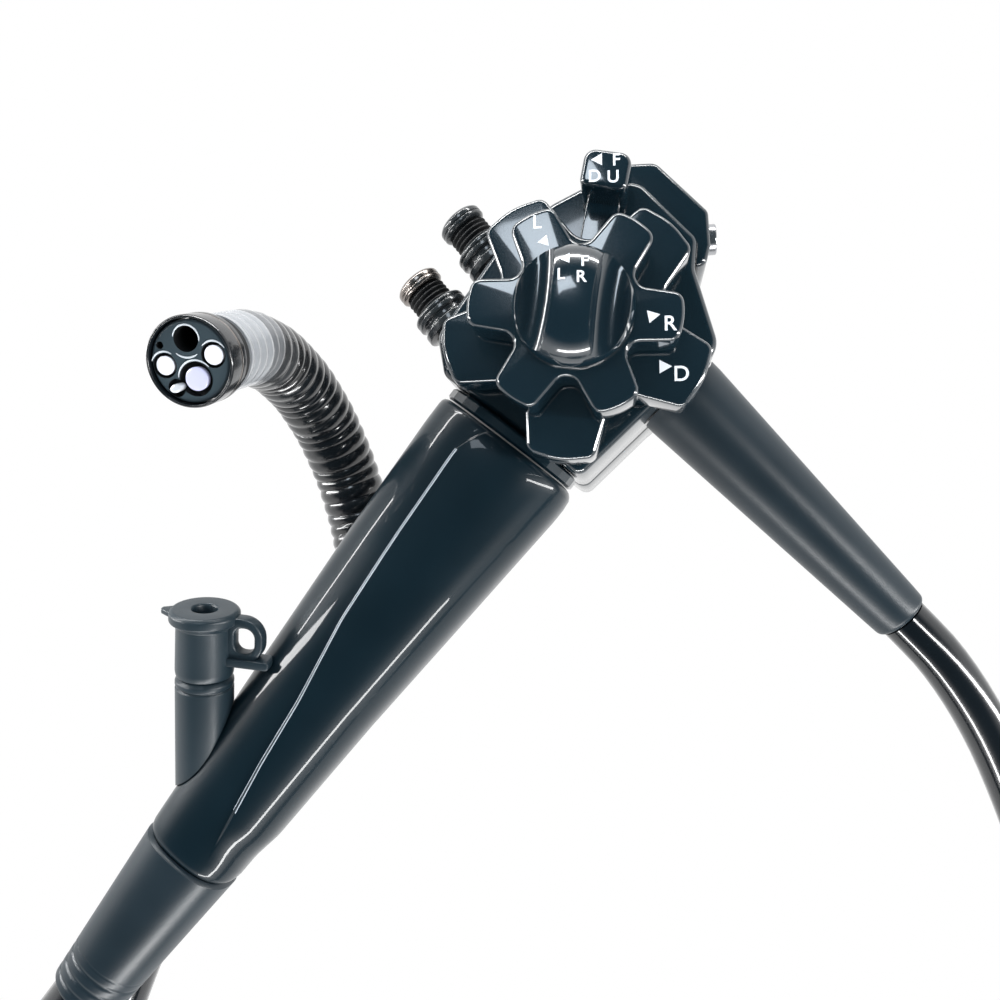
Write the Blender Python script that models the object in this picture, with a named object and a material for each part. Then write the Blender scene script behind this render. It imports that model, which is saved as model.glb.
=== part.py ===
"""Flexible endoscope: control body, bending section, insertion tube and universal cord.

The object lies on its left side. The origin is on the flat side of the head, under the axis of the two
angulation knobs. +X runs along the grip towards the head's top, +Y towards the two valves, +Z along the knobs' axis.
"""

import math

import bmesh
import bpy
from mathutils import Matrix, Vector

MM = 0.001
GAP = 0.3 * MM
END_STRAIGHT = 1.5 * MM

# Head
HEAD_SEAM_Z = 19 * MM
HEAD_TOP_Z = 44 * MM
HEAD_WALL = 2.6 * MM
HEAD_FLOOR = 3 * MM
HEAD_EDGE = 1.6 * MM
HEAD_END_X = -23 * MM
HEAD_CORNERS = (
    # x, y and fillet of each corner, in mm, counter-clockwise from the grip
    (-23, -17.6, 2.5),
    (-3, -20.6, 8),
    (15.4, -24.6, 5),
    (26.0, -10.2, 5),
    (31.6, -6.6, 3),
    (34.2, 9.6, 4),
    (31.4, 17.0, 5),
    (20, 22.6, 8),
    (6, 26.2, 6),
    (-17, 25.2, 5),
    (-23, 18.6, 3),
)

# Knob stack, from the roof of the head upwards
POST_RADIUS = 1.5 * MM
RL_SHAFT_INNER = 1.9 * MM
RL_SHAFT_OUTER = 3.1 * MM
UD_SHAFT_INNER = 3.5 * MM
UD_SHAFT_OUTER = 4.7 * MM
SHAFT_BORE = 5.1 * MM
BRAKE_RING_Z = HEAD_TOP_Z + 0.5 * MM
BRAKE_RING_THICK = 2.4 * MM
BRAKE_RING_RADIUS = 15 * MM
BRAKE_LEVER_ANGLE = 27 * math.pi / 180
BRAKE_LEVER_REACH = 31.9 * MM
BRAKE_STEM_WIDTH = 7.0 * MM
BRAKE_CAP_WIDTH = 9.6 * MM
BRAKE_CAP_DEPTH = 7.8 * MM
BRAKE_CAP_TOP_Z = 56 * MM
UD_KNOB_RADIUS = 26.8 * MM
UD_KNOB_VALLEY = 17.4 * MM
UD_LOBE_SHARE = 0.2
UD_KNOB_LOBES = 5
UD_KNOB_PHASE = 46.5 - 52.2
UD_KNOB_Z = BRAKE_RING_Z + BRAKE_RING_THICK + 0.8 * MM
UD_KNOB_THICK = 8.8 * MM
RL_KNOB_RADIUS = 20.2 * MM
RL_KNOB_VALLEY = 12.8 * MM
RL_LOBE_SHARE = 0.215
RL_KNOB_LOBES = 6
RL_KNOB_PHASE = 114 - 52.2
RL_KNOB_Z = UD_KNOB_Z + UD_KNOB_THICK + 1.6 * MM
RL_KNOB_THICK = 9.0 * MM
KNOB_EDGE = 1.1 * MM
VALLEY_SHARE = 0.1
KNOB_SKIRT = 2.4 * MM
KNOB_WEB = 3.0 * MM
DOME_RADIUS = 11.4 * MM
DOME_Z = RL_KNOB_Z + RL_KNOB_THICK + 0.5 * MM
DOME_HEIGHT = 8.4 * MM
DOME_BAR_WIDTH = 7.2 * MM
DOME_BAR_ANGLE = 30 * math.pi / 180
DRUM_RADIUS = 9.5 * MM
DRUM_THICK = 4.0 * MM
UD_DRUM_Z = 30 * MM
RL_DRUM_Z = 22 * MM
CHASSIS_Z = HEAD_FLOOR + 3 * MM

# Valves on the head's upper side
VALVE_Z = 31 * MM
VALVE_ANGLE = 77 * math.pi / 180
VALVE_BASES = {"suction": (-12.4 * MM, 26.4 * MM), "air": (4.6 * MM, 27.4 * MM)}
VALVE_BORE = 3.6 * MM
VALVE_BOSS_RADIUS = 6.4 * MM
VALVE_BOSS_HEIGHT = 6.4 * MM
VALVE_TRAVEL = 4 * MM
VALVE_STEM_RADIUS = 3.2 * MM
VALVE_BUTTON_RADIUS = 5.3 * MM
VALVE_BUTTON_THICK = 3 * MM
VALVE_STEM_DEPTH = 8 * MM

# Remote switches on the end of the head
SWITCH_BLOCK_Z = (7 * MM, 41 * MM)
SWITCH_BLOCK_CORNERS = (
    # x, y and fillet of each corner, in mm
    (27.0, -12.0, 2),
    (32.8, -9.4, 1.5),
    (38.4, -4.6, 2),
    (40.6, 10.8, 3),
    (36.6, 16.0, 3),
    (31.0, 19.6, 2),
    (28.0, 4.0, 0),
)
SWITCH_RADIUS = 3.3 * MM
SWITCH_PROUD = 1.6 * MM
SWITCH_TRAVEL = 0.8 * MM
SWITCHES = {
    # centre x, y, z in mm, and the direction that the button faces in degrees from +X
    "freeze_switch": (39.4, 3.2, 15.0, -8),
    "capture_switch": (39.4, 3.2, 27.0, -8),
    "corner_switch": (35.6, -7.0, 33.0, -50),
}

# Grip
GRIP_Z = 33 * MM
GRIP_START_X = -26.3 * MM
GRIP_END_X = -138.6 * MM
GRIP_STATIONS = (
    # share of the grip's length, centre y, half width and half height in mm
    (0.0, 0.3, 17.4, 13.9),
    (0.06, 0.3, 17.3, 14.6),
    (0.3, 0.7, 15.7, 15.0),
    (0.6, 1.0, 13.5, 13.4),
    (0.85, 0.9, 11.9, 11.9),
    (1.0, 0.8, 11.0, 11.0),
)
GRIP_POWER = 2.5
BOOT_END_X = -178 * MM

# Biopsy port on the grip's upper side
PORT_BASE = Vector((-128.0, 6.2, 34.5)) * MM
PORT_TOP = Vector((-92.0, 27.4, 49.0)) * MM
PORT_RADIUS = 6.1 * MM
PORT_BORE = 2.1 * MM
PORT_CAP_RADIUS = 5.9 * MM
PORT_FLANGE_RADIUS = 7.3 * MM
PORT_CAP_LENGTH = 15.0 * MM
PORT_CAP_HOLE = 2.6 * MM
MOUTHPIECE_RADIUS = 3.6 * MM
MOUTHPIECE_DEPTH = 8.0 * MM
MOUTHPIECE_PROUD = 8.5 * MM
WEB_THICK = 2.4 * MM
STRAP_THICK = 3.2 * MM

# Universal boot and cord
UNIVERSAL_ROOT = Vector((5.6, -24.6, 27.0)) * MM
UNIVERSAL_TIP = Vector((-3.5, -90.3, 19.0)) * MM
UNIVERSAL_ROOT_RADIUS = 10.0 * MM
UNIVERSAL_TIP_RADIUS = 6.2 * MM
UNIVERSAL_CORD_RADIUS = 5.25 * MM

# Insertion tube
TUBE_RADIUS = 7.0 * MM
COIL_RADIUS = 70 * MM
COIL_CENTRE = Vector((-238.7, -187.9)) * MM

# Bending section
CHAIN_BASE = Vector((-64.0, 20.4, 8.1)) * MM
CHAIN_HEADING = math.radians(50)
CHAIN_JOINTS = 12
CHAIN_PITCH = 6.5 * MM
CHAIN_UP = math.radians(18)
CHAIN_LEFT = math.radians(2)
FERRULE_LENGTH = 3.0 * MM
RING_OUTER = 6.7 * MM
RING_WALL = 0.9 * MM
RING_CUT = math.radians(17)
RING_SIDES = 16
RING_RELIEF = 0.35 * MM
LUG_RADIUS = 1.7 * MM
LUG_THICK = 0.7 * MM
RIVET_RADIUS = 0.6 * MM
RUBBER_INNER = 7.1 * MM
RUBBER_OUTER = 7.7 * MM

# Distal end
TIP_RADIUS = 7.6 * MM
TIP_SPIGOT_LENGTH = 3.8 * MM
TIP_START = 5.3 * MM
TIP_LENGTH = 13.0 * MM
HOOD_OUTER = 8.5 * MM
HOOD_LENGTH = 6.0 * MM
HOOD_LIP = 0.7 * MM
FACE_SEAT_DEPTH = 1.6 * MM
FACE_ITEMS = {
    # place across and up the face, and radius, in mm
    "instrument_channel": (-1.0, -4.0, 2.1),
    "objective_lens": (0.3, 3.3, 2.2),
    "light_lens_left": (5.0, -1.0, 1.75),
    "light_lens_right": (-4.7, 0.5, 1.8),
    "water_nozzle": (4.6, 3.5, 1.1),
    "water_jet": (4.3, -4.7, 0.6),
}

# Light-guide connector at the far end of the universal cord
UNIVERSAL_COIL_INNER = 47.1 * MM
UNIVERSAL_COIL_OUTER = 57.9 * MM
UNIVERSAL_COIL_CENTRE = Vector((-16.5, -242.0)) * MM
UNIVERSAL_LAYER = 10.9 * MM
CONNECTOR_RADIUS = 17 * MM
CONNECTOR_Z = CONNECTOR_RADIUS + GAP
CONNECTOR_TURN = math.radians(205)
CONNECTOR_START = 37.6 * MM
CONNECTOR_BOOT_LENGTH = 34 * MM
CONNECTOR_LENGTH = 52 * MM
LIGHT_GUIDE_LENGTH = 30 * MM
LIGHT_GUIDE_RADIUS = 4.6 * MM
SOCKET_RADIUS = 9 * MM

# Routes of the two cords' straight stretches: points chosen along each, in mm
TUBE_OUT_ROUTE = (
    (-178.7, 0.8, 33.0),
    (-190.0, 0.8, 32.8),
    (-205.0, 1.2, 30.4),
    (-222.0, 1.6, 23.8),
    (-238.0, 0.6, 15.4),
    (-256.4, -1.8, 9.0),
    (-273.5, -8.9, 7.4),
    (-288.2, -20.2, 7.3),
    (-299.5, -34.9, 7.3),
    (-306.6, -52.0, 7.3),
    (-309.0, -70.4, 7.3),
    (-309.0, -95.0, 7.3),
    (-309.0, -120.0, 7.3),
    (-309.0, -143.0, 7.3),
)
TUBE_BACK_ROUTE = (
    (-234.5, -106.3, 19.4),
    (-240.7, -97.8, 18.1),
    (-245.6, -86.2, 16.0),
    (-248.6, -74.0, 13.8),
    (-248.5, -57.8, 11.1),
    (-244.1, -42.2, 8.9),
    (-235.9, -28.2, 7.7),
    (-226.9, -18.9, 7.5),
    (-217.5, -12.4, 7.5),
    (-202.0, -5.6, 7.4),
    (-187.0, -0.2, 7.4),
    (-172.0, 3.8, 7.3),
    (-158.0, 4.6, 7.3),
    (-144.0, 3.0, 7.3),
    (-131.0, 0.6, 7.3),
    (-118.0, -1.4, 7.3),
    (-109.0, -2.1, 7.3),
    (-99.3, -1.25, 7.4),
    (-89.85, 1.28, 7.6),
    (-81.0, 5.4, 7.9),
    (-73.0, 11.0, 8.1),
    (-68.03, 15.6, 8.1),
    (-66.1, 17.9, 8.1),
)
UNIVERSAL_ROUTE = (
    (-3.54, -90.6, 18.96),
    (-5.2, -101.0, 17.6),
    (-8.2, -111.5, 15.2),
    (-12.5, -122.4, 12.0),
    (-18.0, -133.2, 8.8),
    (-24.4, -144.0, 6.4),
    (-31.8, -156.4, 5.5),
    (-40.6, -170.6, 5.4),
    (-47.2, -181.4, 5.4),
)


def material(name, colour, roughness, metallic=0.0):
    """A Principled material of one colour."""
    made = bpy.data.materials.new(name)
    made.use_nodes = True
    shader = made.node_tree.nodes["Principled BSDF"]
    shader.inputs["Base Color"].default_value = (*colour, 1)
    shader.inputs["Roughness"].default_value = roughness
    shader.inputs["Metallic"].default_value = metallic
    return made


def finish(name, bm, surface, place=None):
    """One object from a closed bmesh, shaded smooth but for its sharp edges."""
    bmesh.ops.recalc_face_normals(bm, faces=bm.faces)
    mesh = bpy.data.meshes.new(name)
    bm.to_mesh(mesh)
    bm.free()
    mesh.materials.append(surface)
    mesh.shade_smooth()
    mesh.set_sharp_from_angle(angle=math.radians(35))
    made = bpy.data.objects.new(name, mesh)
    bpy.context.scene.collection.objects.link(made)
    if place is not None:
        made.matrix_world = place
    return made


def skin(bm, sections, closed=False):
    """Joins sections of equal size with quads, with a face on each end unless they close on themselves."""
    loops = [[bm.verts.new(p) for p in section] for section in sections]
    pairs = list(zip(loops, loops[1:]))
    if closed:
        pairs.append((loops[-1], loops[0]))
    for low, high in pairs:
        for i in range(len(low)):
            j = (i + 1) % len(low)
            bm.faces.new((low[i], low[j], high[j], high[i]))
    if not closed:
        bm.faces.new(reversed(loops[0]))
        bm.faces.new(loops[-1])


def lofted(name, sections, surface, place=None):
    bm = bmesh.new()
    skin(bm, sections)
    return finish(name, bm, surface, place)


def turned(name, profile, surface, place=None, sides=24):
    """Turns (radius, height) points round Z. A profile off the axis closes on itself and leaves a bore."""
    bm = bmesh.new()
    steps = [2 * math.pi * k / sides for k in range(sides)]
    on_axis = profile[0][0] == 0
    inner = profile[1:-1] if on_axis else profile
    sections = [[(r * math.cos(a), r * math.sin(a), h) for a in steps] for r, h in inner]
    if on_axis:
        loops = [[bm.verts.new(p) for p in section] for section in sections]
        for low, high in zip(loops, loops[1:]):
            for i in range(sides):
                j = (i + 1) % sides
                bm.faces.new((low[i], low[j], high[j], high[i]))
        for loop, (_, height) in ((loops[0], profile[0]), (loops[-1], profile[-1])):
            pole = bm.verts.new((0, 0, height))
            for i in range(sides):
                bm.faces.new((loop[i], loop[(i + 1) % sides], pole))
    else:
        skin(bm, sections, closed=True)
    return finish(name, bm, surface, place)


def rounded(corners, steps=4):
    """A polygon of (x, y, fillet) corners with its fillets as short arcs."""
    points = []
    for i, (x, y, radius) in enumerate(corners):
        here = Vector((x, y))
        before = (Vector(corners[i - 1][:2]) - here).normalized()
        after = (Vector(corners[(i + 1) % len(corners)][:2]) - here).normalized()
        half = before.angle(after) / 2
        if radius == 0 or half > 1.55:
            points.append(here)
            continue
        reach = radius / math.tan(half)
        centre = here + (before + after).normalized() * radius / math.sin(half)
        start = here + before * reach - centre
        sweep = start.angle_signed(here + after * reach - centre)
        for k in range(steps + 1):
            points.append(centre + Matrix.Rotation(-sweep * k / steps, 2) @ start)
    return points


def inset(corners, distance):
    """The (x, y, fillet) corners moved inwards by a distance, with their fillets made to fit."""
    moved = []
    for i, (x, y, radius) in enumerate(corners):
        here = Vector((x, y))
        along = (here - Vector(corners[i - 1][:2])).normalized()
        onward = (Vector(corners[(i + 1) % len(corners)][:2]) - here).normalized()
        across = Vector((-along.y, along.x))
        normal = (across + Vector((-onward.y, onward.x))).normalized()
        x, y = here + normal * distance / normal.dot(across)
        moved.append((x, y, max(0.8 * MM, radius - distance)))
    return moved


def prism(name, outline, low, high, surface, edge=0.0, place=None):
    """An outline extruded from one height to another, with its rims bevelled."""
    made = lofted(name, [[(p.x, p.y, z) for p in outline] for z in (low, high)], surface, place)
    if edge:
        bevel = made.modifiers.new("Rim", "BEVEL")
        bevel.width = edge
        bevel.segments = 2
        bevel.limit_method = "ANGLE"
        bevel.angle_limit = math.radians(50)
    return made


def cutter(made):
    """Marks an object as one that only cuts others."""
    made.hide_render = True
    made.display_type = "WIRE"
    return made


def boolean(target, tool, operation="DIFFERENCE"):
    step = target.modifiers.new(operation.title(), "BOOLEAN")
    step.operation = operation
    step.solver = "EXACT"
    step.object = cutter(tool)


def baked(made):
    """The object's mesh with its modifiers applied. The object and its cutters are removed."""
    solved = made.evaluated_get(bpy.context.evaluated_depsgraph_get())
    mesh = bpy.data.meshes.new_from_object(solved)
    tools = [step.object for step in made.modifiers if step.type == "BOOLEAN"]
    for old in (made, *tools):
        bpy.data.objects.remove(old, do_unlink=True)
    return mesh


def placed(name, mesh, matrix):
    made = bpy.data.objects.new(name, mesh)
    bpy.context.scene.collection.objects.link(made)
    made.matrix_world = matrix
    return made


def facing(point, direction, up=Vector((0, 0, 1))):
    """A frame at a point with Z along a direction and Y as near as it can be to up."""
    z = Vector(direction).normalized()
    x = Vector(up).cross(z).normalized()
    y = z.cross(x)
    return Matrix.Translation(point) @ Matrix((x, y, z)).transposed().to_4x4()


def circle(radius, centre=(0, 0), sides=32):
    angles = [2 * math.pi * k / sides for k in range(sides)]
    return [Vector((centre[0] + radius * math.cos(a), centre[1] + radius * math.sin(a))) for a in angles]


def smooth(points, step):
    """Evenly spaced points along a Catmull-Rom curve through the given ones."""
    ends = [2 * points[0] - points[1], *points, 2 * points[-1] - points[-2]]
    fine = []
    for a, b, c, d in zip(ends, ends[1:], ends[2:], ends[3:]):
        for k in range(24):
            t = k / 24
            curve = 2 * b + (c - a) * t + (2 * a - 5 * b + 4 * c - d) * t * t
            fine.append((curve + (3 * b - a - 3 * c + d) * t ** 3) / 2)
    fine.append(points[-1])
    length = sum((q - p).length for p, q in zip(fine, fine[1:]))
    spacing = length / max(2, round(length / step))
    spaced, run = [fine[0]], 0.0
    for p, q in zip(fine, fine[1:]):
        run += (q - p).length
        if run >= spacing - 1e-9:
            spaced.append(q.copy())
            run -= spacing
    if (spaced[-1] - fine[-1]).length < spacing / 2:
        spaced.pop()
    # a short straight piece keeps each end square to the cord
    second = fine[0] + (fine[1] - fine[0]).normalized() * END_STRAIGHT
    last_but_one = fine[-1] + (fine[-2] - fine[-1]).normalized() * END_STRAIGHT
    return [fine[0], second, *spaced[1:], last_but_one, fine[-1]]


def tube(name, points, radius, surface):
    """A cord's own solid: a curve with a round bevel and filled ends."""
    curve = bpy.data.curves.new(name, "CURVE")
    curve.dimensions = "3D"
    spline = curve.splines.new("POLY")
    spline.points.add(len(points) - 1)
    for knot, p in zip(spline.points, points):
        knot.co = (*p, 1)
    curve.bevel_depth = radius
    curve.bevel_resolution = 3
    curve.use_fill_caps = True
    curve.materials.append(surface)
    made = bpy.data.objects.new(name, curve)
    bpy.context.scene.collection.objects.link(made)
    return made


def knob_outline(radius, valley, lobes, phase, lobe_share):
    """A star of broad blunt lobes with concave valleys between them."""
    corners = []
    pitch = 2 * math.pi / lobes
    for k in range(lobes):
        middle = math.radians(phase) + k * pitch
        for offset, reach, fillet in (
            (-lobe_share, 1.0, 2.2),
            (0.0, 1.02, 14.0),
            (lobe_share, 1.0, 2.2),
        ):
            a = middle + offset * pitch
            corners.append((radius * reach * math.cos(a), radius * reach * math.sin(a), fillet * MM))
        for offset in (-VALLEY_SHARE, VALLEY_SHARE):
            a = middle + (0.5 + offset) * pitch
            corners.append((valley * math.cos(a), valley * math.sin(a), 5.0 * MM))
    return rounded(corners, steps=3)


def knob(name, radius, valley, lobes, lobe_share, phase, low, thick, hub_bore, surface):
    """A lobed hand wheel, hollow from below round its hub."""
    outline = knob_outline(radius, valley, lobes, phase, lobe_share)
    made = prism(name, outline, low, low + thick, surface, edge=KNOB_EDGE)
    hollow = [
        (hub_bore + 3 * MM, low - MM),
        (valley - KNOB_SKIRT, low - MM),
        (valley - KNOB_SKIRT, low + thick - KNOB_WEB),
        (hub_bore + 3 * MM, low + thick - KNOB_WEB),
    ]
    boolean(made, turned(name + "_hollow", hollow, surface))
    bore = [(0, low - MM), (hub_bore, low - MM), (hub_bore, low + thick + MM), (0, low + thick + MM)]
    boolean(made, turned(name + "_bore", bore, surface, sides=24))
    return made


def head(plastic, metal):
    """The two halves of the housing, with the frame plate and the fixed centre post inside."""
    corners = [(x * MM, y * MM, r * MM) for x, y, r in HEAD_CORNERS]
    outline = rounded(corners)
    lower = prism("head_case_lower", outline, 0, HEAD_SEAM_Z, plastic, edge=HEAD_EDGE)
    room = rounded(inset(corners, HEAD_WALL), steps=2)
    boolean(lower, prism("lower_room", room, HEAD_FLOOR, HEAD_SEAM_Z + MM, plastic))
    upper = prism("head_case_upper", outline, HEAD_SEAM_Z + GAP, HEAD_TOP_Z, plastic, edge=HEAD_EDGE)
    boolean(upper, prism("upper_room", room, HEAD_SEAM_Z - MM, HEAD_TOP_Z - HEAD_FLOOR, plastic))
    bore = [(0, HEAD_SEAM_Z), (SHAFT_BORE, HEAD_SEAM_Z), (SHAFT_BORE, HEAD_TOP_Z + MM), (0, HEAD_TOP_Z + MM)]
    boolean(upper, turned("shaft_hole", bore, plastic, sides=24))
    for side, (x, y) in VALVE_BASES.items():
        place = facing(valve_seat(side), valve_axis())
        spigot = VALVE_BOSS_RADIUS - 1.4 * MM + GAP
        seat = VALVE_BOSS_RADIUS + GAP
        hole = [(0, -9 * MM), (spigot, -9 * MM), (spigot, -0.1 * MM), (seat, -0.1 * MM), (seat, 4 * MM), (0, 4 * MM)]
        boolean(upper, turned(side + "_hole", hole, plastic, place, sides=24))
    plate = rounded(inset(corners, HEAD_WALL + GAP), steps=2)
    chassis = prism("chassis_plate", plate, HEAD_FLOOR + GAP, CHASSIS_Z, metal)
    top = DOME_Z - GAP
    post = [(0, CHASSIS_Z + GAP), (6 * MM, CHASSIS_Z + GAP), (6 * MM, CHASSIS_Z + 2 * MM),
            (POST_RADIUS, CHASSIS_Z + 4 * MM), (POST_RADIUS, top), (0, top)]
    turned("centre_post", post, metal, sides=20)
    return lower, upper, chassis


def valve_axis():
    return Vector((math.cos(VALVE_ANGLE), math.sin(VALVE_ANGLE), 0))


def valve_seat(side):
    x, y = VALVE_BASES[side]
    return Vector((x, y, VALVE_Z))


def valve(side, metal, black):
    """A valve cylinder through the wall of the head, and the sprung button in it."""
    place = facing(valve_seat(side), valve_axis())
    boss, spigot = VALVE_BOSS_RADIUS, VALVE_BOSS_RADIUS - 1.4 * MM
    body = [
        (VALVE_BORE, -7 * MM), (spigot, -7 * MM), (spigot, 0.2 * MM), (boss, 0.6 * MM),
        (boss, 2.2 * MM), (boss - 0.8 * MM, 2.6 * MM), (boss - 0.8 * MM, 3.6 * MM), (boss, 4.0 * MM),
        (boss, VALVE_BOSS_HEIGHT - 0.5 * MM), (boss - 0.5 * MM, VALVE_BOSS_HEIGHT), (VALVE_BORE, VALVE_BOSS_HEIGHT),
    ]
    turned(side + "_valve_cylinder", body, metal, place, sides=16)
    top = VALVE_BOSS_HEIGHT + VALVE_TRAVEL + 1.0 * MM
    foot = top - VALVE_STEM_DEPTH - 4 * MM
    rim = VALVE_BUTTON_RADIUS
    stem = [
        (0, foot), (VALVE_STEM_RADIUS, foot), (VALVE_STEM_RADIUS, top - 0.4 * MM), (rim - 0.5 * MM, top),
        (rim, top + 0.5 * MM), (rim, top + VALVE_BUTTON_THICK - 0.7 * MM), (rim - 0.7 * MM, top + VALVE_BUTTON_THICK),
        (rim - 1.6 * MM, top + VALVE_BUTTON_THICK), (rim - 2.2 * MM, top + VALVE_BUTTON_THICK - 0.5 * MM),
        (0, top + VALVE_BUTTON_THICK - 0.5 * MM),
    ]
    turned(side + "_valve_button", stem, black, place, sides=20)


def brake_lever(black):
    """The ring under the knobs, its stem and the raised finger tab on the stem's end."""
    high = BRAKE_RING_Z + BRAKE_RING_THICK
    ring = turned("ud_brake_lever", [
        (SHAFT_BORE + 1 * MM, BRAKE_RING_Z), (BRAKE_RING_RADIUS, BRAKE_RING_Z),
        (BRAKE_RING_RADIUS, high), (SHAFT_BORE + 1 * MM, high)], black)
    turn = Matrix.Rotation(BRAKE_LEVER_ANGLE, 4, "Z")
    half = BRAKE_STEM_WIDTH / 2
    stem = [Vector((10 * MM, -half)), Vector((BRAKE_LEVER_REACH, -half)),
            Vector((BRAKE_LEVER_REACH, half)), Vector((10 * MM, half))]
    boolean(ring, prism("brake_stem", stem, BRAKE_RING_Z + 0.01 * MM, high - 0.01 * MM, black, place=turn), "UNION")
    deep, wide = BRAKE_CAP_DEPTH / 2, BRAKE_CAP_WIDTH / 2
    cap = rounded([
        (BRAKE_LEVER_REACH - deep, -wide, 1.6 * MM), (BRAKE_LEVER_REACH + deep, -wide, 2.4 * MM),
        (BRAKE_LEVER_REACH + deep, wide, 2.4 * MM), (BRAKE_LEVER_REACH - deep, wide, 1.6 * MM)])
    tab = prism("brake_tab", cap, BRAKE_RING_Z + 0.02 * MM, BRAKE_CAP_TOP_Z, black, edge=1.2 * MM, place=turn)
    boolean(ring, tab, "UNION")


def knobs(black, metal):
    """The two angulation knobs, the tube shafts that they turn and the drums on those shafts."""
    bore_ud = UD_SHAFT_OUTER + GAP
    bore_rl = RL_SHAFT_OUTER + GAP
    knob("ud_knob", UD_KNOB_RADIUS, UD_KNOB_VALLEY, UD_KNOB_LOBES, UD_LOBE_SHARE, UD_KNOB_PHASE,
         UD_KNOB_Z, UD_KNOB_THICK, bore_ud, black)
    knob("rl_knob", RL_KNOB_RADIUS, RL_KNOB_VALLEY, RL_KNOB_LOBES, RL_LOBE_SHARE, RL_KNOB_PHASE,
         RL_KNOB_Z, RL_KNOB_THICK, bore_rl, black)
    for name, inner, outer, low, high in (
        ("ud_shaft", UD_SHAFT_INNER, UD_SHAFT_OUTER, UD_DRUM_Z, UD_KNOB_Z + UD_KNOB_THICK),
        ("rl_shaft", RL_SHAFT_INNER, RL_SHAFT_OUTER, RL_DRUM_Z, RL_KNOB_Z + RL_KNOB_THICK),
    ):
        turned(name, [(inner, low), (outer, low), (outer, high), (inner, high)], metal, sides=20)
    for name, bore, low in (("ud_drum", bore_ud, UD_DRUM_Z), ("rl_drum", bore_rl, RL_DRUM_Z)):
        groove = DRUM_RADIUS - 1.2 * MM
        turned(name, [
            (bore, low), (DRUM_RADIUS, low), (DRUM_RADIUS, low + 0.8 * MM), (groove, low + 1.4 * MM),
            (groove, low + DRUM_THICK - 1.4 * MM), (DRUM_RADIUS, low + DRUM_THICK - 0.8 * MM),
            (DRUM_RADIUS, low + DRUM_THICK), (bore, low + DRUM_THICK)], metal)


def brake_dome(black):
    """The R/L brake: a low dome with two scoops, which leave a bar across its middle to turn it by."""
    low, high = DOME_Z, DOME_Z + DOME_HEIGHT
    profile = [(0, low), (DOME_RADIUS - 0.6 * MM, low), (DOME_RADIUS, low + 0.8 * MM)]
    for k in range(1, 7):
        a = math.radians(15 * k)
        profile.append((DOME_RADIUS * math.cos(a) ** 0.8, low + MM + (DOME_HEIGHT - MM) * math.sin(a)))
    profile[-1] = (0, high)
    made = turned("rl_brake_dome", profile, black, sides=28)
    for side in (1, -1):
        place = Matrix.Rotation(DOME_BAR_ANGLE, 4, "Z")
        sections = []
        for along in (-1, -0.5, 0, 0.5, 1):
            x = along * (DOME_RADIUS + 2 * MM)
            inside = DOME_BAR_WIDTH / 2 + 1.4 * MM * along * along
            sections.append([
                (x, side * inside, high + 2 * MM), (x, side * (inside + 0.6 * MM), low + 3.4 * MM),
                (x, side * (DOME_RADIUS + 3 * MM), low + 2.2 * MM), (x, side * (DOME_RADIUS + 3 * MM), high + 2 * MM)])
        boolean(made, lofted("scoop_%d" % side, sections, black, place))


def switches(black, metal):
    """The block on the end of the head and the push switches let into it."""
    low, high = SWITCH_BLOCK_Z
    outline = rounded([(x * MM, y * MM, r * MM) for x, y, r in SWITCH_BLOCK_CORNERS], steps=3)
    block = prism("switch_block", outline, low, high, black, edge=1.2 * MM)
    corners = [(x * MM, y * MM, r * MM) for x, y, r in HEAD_CORNERS]
    wall = rounded(inset(corners, -GAP))
    boolean(block, prism("head_clearance", wall, low - MM, high + MM, black))
    for name, (x, y, z, turn) in SWITCHES.items():
        direction = Vector((math.cos(math.radians(turn)), math.sin(math.radians(turn)), 0))
        place = facing(Vector((x, y, z)) * MM, direction)
        hole = SWITCH_RADIUS + GAP
        floor = -SWITCH_TRAVEL - 2 * MM
        well = [(0, floor), (hole, floor), (hole, 4 * MM), (0, 4 * MM)]
        boolean(block, turned(name + "_well", well, black, place, sides=16))
        foot = floor + SWITCH_TRAVEL + GAP
        top = foot + 2 * MM + SWITCH_PROUD
        cap = [(0, foot), (SWITCH_RADIUS, foot), (SWITCH_RADIUS, top - 0.7 * MM),
               (SWITCH_RADIUS - 0.7 * MM, top), (0, top + 0.2 * MM)]
        turned(name, cap, metal if name == "corner_switch" else black, place, sides=16)


def grip_section(share, raise_by=0.0, sides=28):
    """The grip's section at a share of its length, a rounded squarish oval."""
    stations = GRIP_STATIONS
    for a, b in zip(stations, stations[1:]):
        if share <= b[0]:
            t = (share - a[0]) / (b[0] - a[0])
            centre, wide, high = (p + (q - p) * t for p, q in zip(a[1:], b[1:]))
            break
    x = GRIP_START_X + (GRIP_END_X - GRIP_START_X) * share
    points = []
    for k in range(sides):
        a = 2 * math.pi * k / sides
        c, s = math.cos(a), math.sin(a)
        size = (abs(c) ** GRIP_POWER + abs(s) ** GRIP_POWER) ** (-1 / GRIP_POWER)
        y = (wide * MM + raise_by) * c * size + centre * MM
        points.append((x, y, GRIP_Z + (high * MM + raise_by) * s * size))
    return points


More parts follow.
